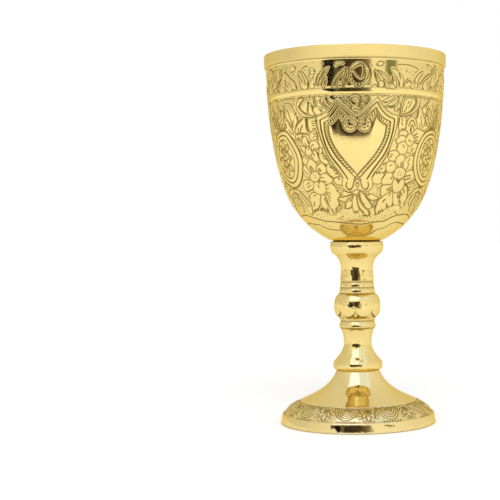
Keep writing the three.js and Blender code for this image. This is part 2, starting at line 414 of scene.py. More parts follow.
class ChasedWall:
    def __init__(self, outline, columns):
        self.radius, self.height = np.array(outline).T
        steps = np.hypot(np.diff(self.radius), np.diff(self.height))
        self.along = np.concatenate([[0], np.cumsum(steps)])
        self.columns = columns
        shape = (len(self.radius), columns)
        self.face, self.cut, self.dark = np.zeros(shape), np.zeros(shape), np.zeros(shape)
        self.open = np.zeros(shape, bool)

    def upTo(self, height):
        order = np.argsort(self.height)
        return np.interp(height, self.height[order], self.along[order])

    def flat(self, points, place):  # a motif's own points, or heights of the goblet where the place has none
        turn, height, spin, flip = place
        p = np.array(points, float)
        if height is None:
            return np.column_stack([flip * p[:, 0], self.upTo(p[:, 1])])
        p = turnedBy(p, spin)
        return np.column_stack([flip * p[:, 0], p[:, 1] + self.upTo(height)])

    def cellsNear(self, line, place, reach):  # one patch of cells round a line, or none off the wall
        low, high = line.min(0) - reach, line.max(0) + reach
        rows = np.arange(np.searchsorted(self.along, low[1]), np.searchsorted(self.along, high[1]))
        if not len(rows):
            return []
        turn, step = math.radians(place[0]), fullTurn / self.columns
        half = max(abs(low[0]), abs(high[0])) / self.radius[rows].min()
        count = np.arange(math.floor((turn - half) / step), math.ceil((turn + half) / step) + 1)
        s = (count * step - turn)[None, :] * self.radius[rows][:, None]
        v = np.repeat(self.along[rows][:, None], len(count), axis=1)
        return [(np.ix_(rows, count % self.columns), s, v)]

    def mark(self, cells, away, reach, depth, dark, fade):  # a round-bottomed cut, deepest on its line
        share = np.clip(1 - (away / reach) ** 2, 0, 1)
        self.cut[cells] = np.maximum(self.cut[cells], depth * share)
        self.dark[cells] = np.maximum(self.dark[cells], dark * share ** fade)

    def press(self, points, place, width, depth, dark=1.0):
        line = self.flat(points, place)
        for cells, s, v in self.cellsNear(line, place, width):
            self.mark(cells, distanceTo(s, v, line), 0.5 * width, depth, dark, 0.7)

    def raisePad(self, points, place, rise=chasing["padRise"], edge=chasing["padEdge"], outlined=True,
                 width=chasing["lineWidth"], level=0.0, dark=chasing["outlineDark"]):
        line = closed(self.flat(points, place))
        for cells, s, v in self.cellsNear(line, place, 1.0):
            away = distanceTo(s, v, line)
            inside = insideOf(s, v, line)
            dome = level + rise * (1 - np.exp(-away / edge))
            for field, value in ((self.face, dome), (self.cut, 0), (self.dark, 0)):
                field[cells] = np.where(inside, value, field[cells])
            self.open[cells] &= ~inside
            if outlined:
                self.mark(cells, away, 0.5 * width, chasing["lineDepth"], dark, 0.7)

    def punch(self, points, place, radius, depth, dark):
        for dot in self.flat(points, place):
            for cells, s, v in self.cellsNear(dot[None], place, radius):
                self.mark(cells, np.hypot(s - dot[0], v - dot[1]), radius, depth, dark, 0.6)

    def stipple(self, lowHeight, highHeight, spacing, random, share):
        rows = np.where((self.height > lowHeight) & (self.height < highHeight))[0]
        around = int(round(fullTurn * self.radius[rows].mean() / spacing))
        start = self.along[rows[0]]
        levels = int((self.along[rows[-1]] - start) / spacing) + 2
        shiftS, shiftV = random.uniform(-0.34, 0.34, (2, levels + 2, around))
        size = random.uniform(0.8, 1.15, (levels + 2, around))
        size = np.where(random.random(size.shape) < share, size, 0.01)
        turn = np.arange(self.columns) / self.columns * around
        up = (self.along[rows] - start) / spacing
        rowCell, columnCell = np.floor(up).astype(int), np.floor(turn).astype(int)
        wide = (self.radius[rows] * fullTurn / around)[:, None]
        best = np.full((len(rows), self.columns), 9.0)
        for di in (-1, 0, 1):
            for dj in (-1, 0, 1):
                i = np.clip(rowCell + di, 0, levels + 1)[:, None]
                j = ((columnCell + dj) % around)[None, :]
                ds = ((columnCell + dj + 0.5)[None, :] + shiftS[i, j] - turn[None, :]) * wide
                dv = ((rowCell + di + 0.5)[:, None] + shiftV[i, j] - up[:, None]) * spacing
                best = np.minimum(best, np.hypot(ds, dv) / (chasing["dotRadius"] * size[i, j]))
        share = np.clip(1 - best ** 2, 0, 1)
        self.open[rows] = True
        self.face[rows] = -chasing["groundDepth"]
        self.cut[rows] = chasing["dotDepth"] * share
        self.dark[rows] = np.maximum(chasing["groundDark"], chasing["dotDark"] * share ** 0.6)

    def freeFor(self, points, place):  # share of an outline that lies on open ground
        line = closed(self.flat(points, place))
        for cells, s, v in self.cellsNear(line, place, 0.3):
            inside = insideOf(s, v, line)
            if inside.any():
                return self.open[cells][inside].mean()
        return 0.0

    def lift(self):
        surface = self.face.copy()
        for axis in (0, 1):  # a touch of softening, as the burnisher leaves
            before, after = np.roll(surface, 1, axis), np.roll(surface, -1, axis)
            if axis == 0:
                before[0], after[-1] = surface[0], surface[-1]
            surface = 0.25 * before + 0.5 * surface + 0.25 * after
        return surface - self.cut

    def chasedRings(self, line):  # the plain line's rings, with the drawing standing off it
        along, lift = wayAlong(line), self.lift()
        return ringsAt(line[:, :1] + along[:, 1:] * lift, line[:, 1:] - along[:, :1] * lift)


# Leaves and flowers, drawn upwards from their base

def leafAxis(t, length, bend):
    if abs(bend) < 1e-3:
        return np.column_stack([0 * t, t * length]), np.column_stack([1 + 0 * t, 0 * t])
    a = bend * t
    return (np.column_stack([(1 - np.cos(a)) / bend, np.sin(a) / bend]) * length,
            np.column_stack([np.cos(a), -np.sin(a)]))


def leafHalf(t, width, belly, lobes=0):
    half = width / 2 * np.sin(np.pi * t ** (math.log(0.5) / math.log(belly))) ** 0.8
    if lobes:
        half = half * (1 - chasing["leafNotch"] * np.abs(np.cos(np.pi * lobes * t ** 0.9)) ** 1.5)
    return half


def drawLeaf(wall, place, length, width, bend=0.0, belly=0.5, lobes=0, veins=0, spine=0.8, shift=(0, 0),
             spin=0.0, rise=chasing["padRise"], dark=chasing["outlineDark"]):
    def scratch(stroke, shade):
        wall.press(turnedBy(stroke, spin, shift), place, chasing["thinWidth"], chasing["thinDepth"], shade)

    t = np.linspace(0, 1, 14 + 7 * lobes)
    axis, across = leafAxis(t, length, bend)
    half = leafHalf(t, width, belly, lobes)[:, None]
    outline = np.vstack([axis + across * half, (axis - across * half)[::-1]])
    wall.raisePad(turnedBy(outline, spin, shift), place, rise=rise, dark=dark)
    if spine:
        scratch(leafAxis(np.linspace(0.04, spine, 8), length, bend)[0], 0.85)
    for vein in range(veins):
        t = np.array([0.2 + 0.5 * vein / veins, 0.36 + 0.5 * vein / veins])
        axis, across = leafAxis(t, length, bend)
        half = leafHalf(t, width, belly)
        for side in (-1, 1):
            end = axis[1] + side * across[1] * half[1] * 0.7
            scratch(np.array([axis[0] + side * across[0] * 0.15, end]), 0.75)


def drawFlower(wall, place, radius, core, petals):
    reach = radius - 0.6 * core
    wide = fullTurn * radius * 0.72 / petals
    t = np.linspace(0, 1, 17)
    half = wide / 2 * np.sin(np.pi * t ** 1.2) ** 0.55 * (1 - 0.1 * t) + core * 0.4 * (1 - t)
    dip = 0.07 * reach * np.exp(-((1 - t) / 0.1) ** 2)
    up = t * reach + 0.6 * core
    outline = np.vstack([np.column_stack([half, up]), np.column_stack([-half, up - dip])[::-1]])
    stroke = [(0, core * 1.1), (0, core + 0.5 * (radius - core))]
    for petal in range(petals):
        angle = 360 * petal / petals
        wall.raisePad(turnedBy(outline, angle), place, rise=0.22)
        wall.press(turnedBy(stroke, angle), place, chasing["thinWidth"], chasing["thinDepth"], 0.9)
    turns = np.linspace(0, fullTurn, 40)[:-1]
    lobed = core * (1 + 0.1 * np.cos(turns * petals))
    wall.raisePad(np.column_stack([lobed * np.sin(turns), lobed * np.cos(turns)]), place, rise=0.14)


# The drawing sheet: the front of the goblet as the lens sees it. One square is 0.418 mm at the axis;
# squares are counted right and down, and the sheet wraps on to the wall from the lens

sheet = {"squaresPerReach": 1195.0, "axis": 354.9, "axisFrom": 60.0, "lean": 0.0101, "eyeLine": 224.8,
         "eyeHeight": 82.0, "reach": 500.0, "square": 0.39, "repeats": 3}
sector = 360 / sheet["repeats"]


def ontoWall(wall, points):  # sheet squares to the turn round the wall and the goblet's height
    p = np.array(points, float)
    axis = sheet["axis"] + (p[:, 1] - sheet["axisFrom"]) * sheet["lean"]
    depth = np.full(len(p), sheet["reach"] - 35)
    for step in range(8):
        across = (p[:, 0] - axis) * depth / sheet["squaresPerReach"]
        height = sheet["eyeHeight"] + (sheet["eyeLine"] - p[:, 1]) * depth / sheet["squaresPerReach"]
        radius = np.interp(height, wall.height, wall.radius)
        turn = np.arcsin(np.clip(across / radius, -0.97, 0.97))
        depth = sheet["reach"] - radius * np.cos(turn)
    return turn, height, radius


def onSheet(plate, points):  # a plate is a close-up of the sheet, in finer squares from its corner
    return np.array(plate["corner"]) + np.reshape(points, (-1, 2)) / plate["finer"]


class Sketch:  # draws from the sheet, once for each repeat round the wall
    def __init__(self, wall):
        self.wall = wall

    def places(self, points):
        turn, height, radius = ontoWall(self.wall, points)
        middle = turn.mean()
        local = np.column_stack([(turn - middle) * radius, height])
        for repeat in range(sheet["repeats"]):
            yield local, at(math.degrees(middle) + sector * repeat)

    def line(self, points, width, depth, dark=1.0):
        for local, place in self.places(curveThrough(points) if len(points) > 2 else points):
            self.wall.press(local, place, width, depth, dark)

    def pad(self, points, rise, rounded=True, **more):
        for local, place in self.places(curveThrough(points, 5, True) if rounded else points):
            self.wall.raisePad(local, place, rise, **more)

    def dots(self, points, radius, depth, dark=0.85):
        for local, place in self.places(points):
            self.wall.punch(local, place, radius, depth, dark)

    def leaf(self, base, tip, width, bend, belly, spine=0.8):
        turn, height, radius = ontoWall(self.wall, [base, tip])
        across = (turn[1] - turn[0]) * radius.mean()
        up = self.wall.upTo(height[1]) - self.wall.upTo(height[0])
        length = math.hypot(across, up)
        if bend:
            length *= bend / (2 * math.sin(bend / 2))
        spin = math.degrees(math.atan2(-across, up) + bend / 2)
        for repeat in range(sheet["repeats"]):
            place = at(math.degrees(turn[0]) + sector * repeat, height[0], spin)
            drawLeaf(self.wall, place, length, width * sheet["square"], bend, belly, spine=spine)


def drawPlate(sketch, plate):
    for body in plate["bodies"]:
        outline = onSheet(plate, body)
        out = outline - outline.mean(0)
        outline += out / np.linalg.norm(out, axis=1, keepdims=True) * plate["grow"]
        sketch.pad(outline, chasing["plateRise"], width=chasing["plateLine"], dark=plate["dark"])
    for width, strokes in plate["strokes"].items():
        for stroke in strokes:
            sketch.line(onSheet(plate, stroke), width, chasing["strokeDepth"], chasing["strokeDark"])
    sketch.dots(onSheet(plate, plate["dots"]), chasing["pitRadius"], chasing["pitDepth"], chasing["pitDark"])


fillLeaves = {"low": 90.5, "high": 129.5, "sizes": ((5.2, 2.6), (3.8, 2.0)), "tries": 260}


def fillGround(wall, random):  # small leaves wherever the ground is still open
    low, high, tries = fillLeaves["low"], fillLeaves["high"], fillLeaves["tries"]
    for length, width in fillLeaves["sizes"]:
        t = np.linspace(0, 1, 9)
        half = leafHalf(t, width, 0.5)
        outline = np.vstack([np.column_stack([half, t * length]), np.column_stack([-half, t * length])[::-1]])
        turns, heights = random.uniform(0, sector, tries), random.uniform(low, high, tries)
        spins, bends = random.uniform(0, 360, tries), random.uniform(-0.6, 0.6, tries)
        for turn, height, spin, bend in zip(turns, heights, spins, bends):
            if wall.freeFor(outline, at(turn, height, spin)) > 0.95:
                for repeat in range(sheet["repeats"]):
                    place = at(turn + sector * repeat, height, spin)
                    drawLeaf(wall, place, length, width, bend, spine=0.7, dark=0.6)


heart = {  # right half; the left half is its mirror about the axis
    "axis": 357.4,
    "edge": [(357.4, 114.6), (359.7, 112.8), (368.9, 104.4), (378, 96.7)],
    "edgeTop": [(378, 96.7), (384.2, 105.9), (391.4, 112.6), (398.3, 115.1)],
    "edgeSide": [(398.3, 115.1), (397.6, 123.5), (395.6, 131.8), (392.8, 140.5), (387.7, 153),
                 (380.8, 164.6), (374.4, 172.6), (371.8, 177.2)],
    "edgeCurl": [(371.8, 177.2), (372.7, 183), (371.8, 187.6), (367.3, 191), (362, 190.6), (357.4, 188.6)],
    "groove": [(359.6, 117.6), (368.9, 108.8), (377.5, 101.4)],
    "grooveTop": [(377.5, 101.4), (381, 108), (386.8, 114.6), (394.4, 118.7)],
    "grooveSide": [(394.4, 118.7), (394, 124), (392.4, 132.6), (388.6, 145), (383.2, 155.4), (375.2, 166),
                   (370.2, 173.2), (367, 178.2)],
    "curl": [(367.9, 181.6), (368.6, 185.6), (365.6, 188.9), (362, 186.2), (360.6, 179.6), (359.4, 176.4)],
    "strip": [(366.2, 116.6), (370.6, 112.2), (376.2, 106.8)],
    "stripTop": [(376.2, 106.8), (379.2, 112.2), (384, 117.6), (390.4, 121.2)],
    "stripSide": [(390.4, 121.2), (389.6, 130), (388.2, 136), (385, 144), (378.8, 154.6), (371.4, 163.6),
                  (363.6, 172.2), (360.4, 176)],
    "plain": [(371.9, 124.6), (373.2, 121.4), (376.6, 115.2)],
    "plainTop": [(376.6, 115.2), (379.4, 119.6), (383, 122.9), (386.4, 124.6)],
    "plainSide": [(386.4, 124.6), (385.8, 130.4), (384.4, 136.6), (380.6, 145), (375.4, 153.2),
                  (368.4, 161.8), (361, 170), (357.4, 174.6)],
    "volute": (364.7, 123.6),
    "voluteRadius": 7,
    "voluteHole": (362, 119.2),
    "voluteDots": [(368, 121.9), (367.7, 125.4), (364, 126.6), (360.3, 125.4)],
    "beads": [(357.4, 176.6, 1.5), (357.4, 180.2, 1.9), (357.4, 184.4, 1.6)],
    "rungSpacing": 3.2,
}


def mirrorHeart(points):
    return [(2 * heart["axis"] - x, y) for x, y in points]


def drawHeart(sketch):
    def half(*names):
        parts = [curveThrough(heart[name], 5) for name in names]
        return np.vstack([parts[0]] + [part[1:] for part in parts[1:]])

    def whole(line):
        return np.vstack([line, np.array(mirrorHeart(line))[::-1][1:-1]])

    x, y = heart["volute"]
    sketch.pad(whole(half("edge", "edgeTop", "edgeSide", "edgeCurl")), 0.13, rounded=False, dark=0.7)
    under = arc((x, y), heart["voluteRadius"], 160, 10, 10)
    face = np.vstack([[(heart["axis"], y + 1.5)], under, half("plain", "plainTop", "plainSide")])
    sketch.pad(whole(face), 0.1, rounded=False, edge=0.4)
    for turned in (lambda line: line, mirrorHeart):
        for name in ("groove", "grooveTop", "grooveSide", "curl"):
            sketch.line(turned(heart[name]), 0.66, 0.22)
        for name in ("strip", "stripTop", "stripSide"):
            sketch.line(turned(heart[name]), 0.5, 0.18)
        for part, last in (("Side", -1), ("Top", None), ("", None)):
            outer, inner = [curveThrough(heart[name + part][:last]) for name in ("strip", "plain")]
            rungs = round(runAlong(outer)[-1] / heart["rungSpacing"])
            for ends in zip(inSteps(outer, rungs), inSteps(inner, rungs)):
                sketch.line(turned(ends), 0.42, 0.15, 0.85)
        sketch.pad(turned(arc((x, y), heart["voluteRadius"], 0, 345, 24)), 0.16, rounded=False)
        for lean in range(-10, 200, 20):  # knobs round the curl
            spoke = np.array([math.cos(math.radians(lean)), math.sin(math.radians(lean))])
            sketch.line(turned([spoke * 5.8 + (x, y), spoke * 7.2 + (x, y)]), 0.36, 0.14, 0.7)
        sketch.pad(turned(oval(heart["voluteHole"], 3.0, 3.0, 14)), 0.14, rounded=False, width=0.42)
        sketch.dots(turned([heart["voluteHole"]]), 0.6, 0.3)
        sketch.dots(turned(heart["voluteDots"]), 0.58, 0.28)
    for x, y, size in heart["beads"]:
        sketch.pad(oval((x, y), size, size * 1.1, 14), 0.2, rounded=False, width=0.5)


# Plates: raised bodies, strokes by their width, and dots, all as runs of across and down

upperLeftPlate = {  # leaves and lobes at the upper left
    "corner": (262, 95), "finer": 2.613, "grow": 1, "dark": 0.75,
    "bodies": [
        [105, 4, 97, 8, 92, 17, 91, 27, 95, 38, 103, 48, 112, 54, 126, 55, 139, 54, 137, 47, 126, 48,
         116, 46.5, 107, 41, 101, 34, 98.5, 27, 101, 20, 107, 12],
        [103, 21, 108, 14, 116, 11, 119, 18, 118.5, 30, 117, 42, 110, 40, 104, 34, 101.5, 27],
        [124, 20, 129, 24, 133, 34, 138, 44, 134, 47.5, 126, 47.5, 122, 40, 122, 28],
        [60, 21.5, 68, 21, 74.5, 23.5, 77, 31, 83, 40, 86.5, 50, 90.5, 57, 90.5, 66, 88, 80, 88, 90,
         86.5, 100, 85, 113, 80, 108, 73, 100, 65, 90.5, 58, 84, 64, 80.5, 61, 70, 58.5, 60, 60, 48, 58, 38,
         59, 26],
        [109, 56.5, 113, 62, 114, 72, 117, 80, 118, 90, 113, 96.5, 104, 96, 98, 96, 93, 98.5, 88.5, 92,
         90, 80, 94, 72, 100, 65],
        [52, 25, 56, 33, 55, 45, 50, 56, 52, 66, 56, 76, 58, 80, 50, 80, 44, 78, 40, 70, 39.5, 58, 42, 48,
         48, 38],
        [143, 28, 152, 36, 153, 44, 146, 48, 141, 44, 139, 36],
    ],
    "strokes": {
        0.5: [[121.5, 20, 120.5, 30, 120, 40], [85, 49, 87, 44]],
        0.6: [[64, 33, 70, 44, 73, 54, 78, 69, 81, 78], [62, 57, 70, 66, 76, 75, 80, 83], [70.5, 72, 76, 81,
              82, 92, 82.5, 101], [71, 88, 79, 98.5], [91, 55, 93, 63, 91, 73, 89, 84], [105, 60, 100, 66,
              94, 72, 90, 80, 88.5, 86], [96, 84, 94.5, 95], [56, 57, 58.5, 64]],
        0.65: [[101, 20, 98, 27, 101, 34, 107, 41, 116, 47], [82.5, 64, 81, 71, 82, 80], [51, 36, 44, 45,
               39.5, 55, 37.5, 66, 37, 77], [55.5, 47, 53, 55, 50, 60], [30, 88, 33, 100, 37, 106]],
        0.7: [[130, 25, 134, 36, 140, 47, 139, 53, 126, 56, 113, 55], [57.5, 26, 60, 38, 59, 50, 57.5, 58,
              61.5, 70, 64.5, 81], [106, 76, 102, 86, 100, 94], [90, 99, 96, 98, 103, 96.5, 113, 98.5,
              120, 101], [94, 112, 97, 119, 93, 124]],
        0.8: [[116, 58, 118, 70, 119, 80], [105, 98, 104, 112, 103, 121]],
    },
    "dots": [93, 54, 99.5, 55, 95, 63, 100, 62, 97, 68, 94, 72, 26, 57, 22, 21, 44, 14, 57, 15, 65, 9,
             79, 26, 79, 19, 82, 9, 24, 74, 90, 36, 89, 44, 95, 113, 92, 118, 46, 65, 43, 60, 47, 72],
}
shoulderLeftPlate = {  # leaves on the heart's left shoulder
    "corner": (262, 88), "finer": 21.48, "grow": 1, "dark": 0.75,
    "bodies": [
        [1130, 175, 1200, 185, 1255, 235, 1290, 310, 1290, 370, 1240, 390, 1180, 370, 1140, 300],
        [1115, 420, 1150, 390, 1210, 400, 1255, 440, 1270, 490, 1230, 530, 1180, 545, 1150, 510, 1120, 460],
        [1270, 220, 1320, 260, 1370, 340, 1430, 385, 1390, 410, 1330, 360, 1290, 300],
        [1420, 200, 1480, 250, 1570, 290, 1560, 330, 1480, 300, 1430, 250],
        [1000, 650, 1060, 640, 1130, 650, 1150, 720, 1140, 800, 1130, 880, 1090, 920, 1050, 900, 1020, 840,
         1000, 760],
        [1040, 960, 1090, 930, 1140, 900, 1170, 960, 1180, 1040, 1190, 1100, 1120, 1100, 1060, 1080,
         1035, 1020],
    ],
    "strokes": {
        0.5: [[1130, 180, 1150, 290, 1200, 370, 1250, 400], [1160, 240, 1210, 300], [1070, 690, 1120, 690],
              [1080, 740, 1130, 740], [1090, 785, 1130, 785], [1090, 850, 1135, 850], [1110, 960,
              1160, 960], [1120, 1010, 1170, 1010]],
        0.75: [[965, 640, 955, 760, 965, 850, 1000, 910]],
        0.8: [[1310, 290, 1340, 350, 1400, 395], [1400, 210, 1430, 270, 1500, 315]],
    },
    "dots": [1010, 170, 1040, 230, 1020, 200, 1090, 200, 1110, 240, 640, 300, 680, 330, 650, 350, 690, 250,
             770, 600, 810, 590, 830, 640, 790, 660, 780, 1090, 800, 1050, 770, 1140],
}
flowersLeftPlate = {  # flowers and leaves on the heart's left side
    "corner": (262, 150), "finer": 18.89, "grow": 1, "dark": 0.75,
    "bodies": [
        [1090, -40, 1085, 60, 1100, 130, 1130, 190, 1180, 230, 1235, 240, 1262, 215, 1240, 170, 1190, 110,
         1150, 50, 1140, -30],
        [1240, 275, 1275, 262, 1310, 290, 1350, 330, 1400, 390, 1440, 440, 1455, 480, 1420, 500, 1370, 490,
         1330, 480, 1280, 430, 1240, 380, 1228, 330],
        [1372, 545, 1420, 510, 1480, 500, 1540, 520, 1568, 560, 1568, 640, 1500, 640, 1430, 620, 1380, 590],
        [720, 780, 780, 830, 850, 920, 900, 1000, 930, 1080, 950, 1150, 900, 1180, 850, 1100, 790, 1000,
         740, 900],
        [925, 830, 975, 800, 1030, 800, 1085, 830, 1110, 880, 1100, 960, 1075, 1040, 1050, 1110, 990, 1100,
         960, 1040, 940, 960, 920, 890],
        [1130, 850, 1180, 850, 1200, 920, 1220, 990, 1240, 1050, 1215, 1110, 1180, 1090, 1150, 1040,
         1120, 960],
        [1210, 650, 1280, 610, 1340, 640, 1380, 700, 1400, 760, 1440, 800, 1450, 860, 1420, 900, 1440, 970,
         1430, 1040, 1390, 1090, 1400, 1180, 1360, 1180, 1320, 1120, 1290, 1040, 1260, 960, 1240, 900,
         1210, 830, 1195, 780, 1215, 730, 1190, 690],
        [870, 180, 905, 160, 960, 195, 1010, 240, 1035, 275, 1020, 330, 1000, 370, 960, 400, 925, 420,
         890, 370, 860, 330, 850, 260],
        [1050, 300, 1090, 255, 1130, 240, 1180, 275, 1200, 330, 1195, 390, 1160, 420, 1110, 430, 1075, 410,
         1050, 370, 1040, 330],
        [1110, 470, 1170, 440, 1230, 450, 1290, 490, 1325, 540, 1300, 590, 1240, 610, 1180, 610, 1130, 580,
         1105, 520],
        [975, 640, 1000, 600, 1050, 580, 1090, 590, 1150, 600, 1180, 660, 1195, 720, 1190, 780, 1140, 810,
         1080, 800, 1020, 770, 985, 720],
        [790, 590, 830, 560, 890, 560, 950, 580, 960, 640, 950, 700, 900, 730, 840, 740, 805, 690],
        [785, 290, 820, 280, 850, 330, 890, 390, 915, 450, 890, 480, 840, 470, 800, 420, 780, 350],
        [925, 470, 950, 420, 1000, 400, 1050, 420, 1078, 470, 1070, 530, 1030, 565, 970, 560, 935, 525],
    ],
    "strokes": {
        0.42: [[1194, 655, 1244, 646], [1205, 718, 1266, 710], [1245, 774, 1307, 820]],
        0.5: [[1120, 50, 1165, 55], [1150, 105, 1195, 100], [1170, 140, 1215, 150], [1285, 300, 1330, 305],
              [1320, 330, 1362, 330], [1350, 372, 1400, 355], [1385, 425, 1435, 425], [1440, 515,
              1470, 540]],
        0.55: [[850, 630, 900, 590], [870, 690, 925, 640], [985, 850, 1020, 830], [1255, 890, 1290, 950]],
        0.6: [[930, 290, 985, 375], [1060, 345, 1085, 390], [1085, 330, 1115, 380], [1115, 500, 1165, 505],
              [1140, 570, 1215, 580], [1060, 650, 1085, 690], [810, 370, 870, 440], [1000, 960, 985, 1040],
              [1330, 1100, 1375, 1190]],
        0.65: [[740, 900, 800, 1000, 850, 1100, 900, 1190]],
        0.7: [[910, 285, 925, 350, 945, 390], [1072, 540, 1080, 620], [850, 780, 900, 752, 960, 725],
              [1180, 900, 1215, 960, 1240, 1010], [1215, 770, 1245, 830, 1290, 880], [1430, 915, 1440, 950],
              [1460, 1000, 1470, 1050], [1225, 1160, 1250, 1120]],
        0.75: [[985, 1150, 1020, 1115, 1060, 1135]],
        0.8: [[885, 860, 905, 895]],
        0.85: [[1110, 1130, 1135, 1095, 1165, 1120]],
    },
    "dots": [980, 445, 1012, 470, 992, 505, 1030, 510, 1400, 690, 1440, 660, 1475, 690, 1450, 740,
             1500, 720, 1470, 800, 1500, 830, 1520, 680, 1405, 1110, 1440, 1090, 1470, 1120, 1430, 1140,
             1460, 1160, 1500, 1100, 1000, 1190, 1040, 1170, 1080, 1200, 1120, 1190, 1160, 1210, 1200, 1200,
             1060, 1230, 1110, 1240, 1190, 1245],
}
smallFlowerPlate = {  # one small flower
    "corner": (296, 134), "finer": 49, "grow": 0.4, "dark": 0.75,
    "bodies": [
        [310, 340, 320, 140, 410, 70, 520, 180, 590, 330, 620, 500, 530, 570, 420, 520],
        [195, 560, 330, 550, 455, 620, 455, 760, 420, 870, 330, 820, 240, 700],
        [700, 600, 655, 480, 700, 340, 800, 280, 950, 305, 1080, 400, 1120, 500, 1060, 640, 960, 720,
         830, 765, 765, 700],
        [790, 800, 950, 790, 1050, 900, 1105, 1080, 1140, 1250, 1000, 1300, 880, 1240, 750, 1110, 730, 970],
        [480, 960, 590, 1020, 625, 1100, 580, 1240, 520, 1410, 430, 1430, 350, 1330, 325, 1150, 400, 1010],
        [520, 610, 478, 760, 480, 890, 560, 985, 680, 1005, 765, 900, 775, 800, 730, 680, 660, 600],
    ],
    "strokes": {
        0.45: [[610, 720, 640, 640]],
        0.5: [[775, 1050, 810, 1100, 860, 1140], [435, 1070, 465, 1040, 495, 1005], [505, 1180, 535, 1140,
              570, 1100], [440, 400, 480, 470, 530, 540]],
        0.55: [[260, 680, 300, 750, 350, 815], [760, 550, 800, 500, 860, 465], [850, 740, 900, 680,
               945, 645], [830, 880, 870, 930, 920, 985]],
    },
    "dots": [180, 200, 110, 280, 220, 260, 920, 210, 850, 120, 1000, 200],
}
upperRightPlate = {  # leaves and lobes at the upper right
    "corner": (385, 95), "finer": 2.529, "grow": 1, "dark": 0.75,
    "bodies": [
        [81, 2, 86, 4, 87.5, 14, 86, 25, 80, 36, 71, 44, 60, 50, 46, 51.5, 38, 50, 44, 46.5, 56, 46, 66, 41,
         74, 33, 79, 24, 80.5, 13],
        [47, 22, 53, 13, 62, 9, 72, 11, 76.5, 18, 71, 28, 63, 38, 54, 43.5, 46, 44, 44.5, 34],
        [49, 2, 51, 5, 48, 18, 44, 32, 43, 46, 39, 46, 40, 34, 44, 18],
        [89, 30, 92, 34, 95, 45, 97, 56, 99, 62, 100, 70, 97, 80, 97, 86, 90, 87, 84, 84, 82, 72, 82, 60,
         85, 48, 86.5, 38],
        [118, 8, 120.5, 14, 119, 26, 118, 38, 117.5, 52, 116, 58, 112, 62, 108, 62, 108, 52, 105, 44,
         107, 34, 110, 24, 113, 15],
        [101, 30, 105, 36, 105.5, 43, 101, 46, 97.5, 42, 97, 36],
        [99, 80, 104, 74, 111, 69, 117, 67, 117.5, 72, 110, 80, 101, 88, 95, 88],
    ],
    "strokes": {
        0.5: [[60, 16, 58, 22], [67, 16, 64, 24, 60, 32], [87.5, 72, 87.5, 82]],
        0.55: [[55, 28, 53, 36, 48, 42]],
        0.6: [[89, 6, 90, 20, 87, 31, 80, 40], [86, 38, 84.5, 48, 81.5, 58], [93.5, 36, 96.5, 45, 98.5, 56],
              [91, 54, 91.5, 62, 92.5, 70, 93, 80]],
        0.65: [[71, 46.5, 64, 51, 52, 53, 40, 52.5], [114, 12, 110, 19, 103, 25, 98, 31], [111, 28, 109, 36,
               105, 43, 107, 50, 107.5, 57]],
        0.7: [[103, 78, 108, 74.5, 115, 69]],
        0.75: [[76, 2, 79.5, 10, 79, 20, 74, 30, 67, 39], [99, 76, 101, 72, 105, 63]],
    },
    "dots": [18, 23, 22, 22, 25, 25, 15, 27, 20, 28, 25, 30, 11, 27, 31, 34, 36, 28, 35, 22, 101, 10,
             103, 14, 107, 18, 101, 48, 106, 48, 104, 56, 102, 63, 128, 25, 131, 33, 121, 43, 124, 55,
             119, 55, 128, 39, 70, 47, 75, 44, 83, 44, 78, 50, 43, 62, 44, 76, 44, 85],
}
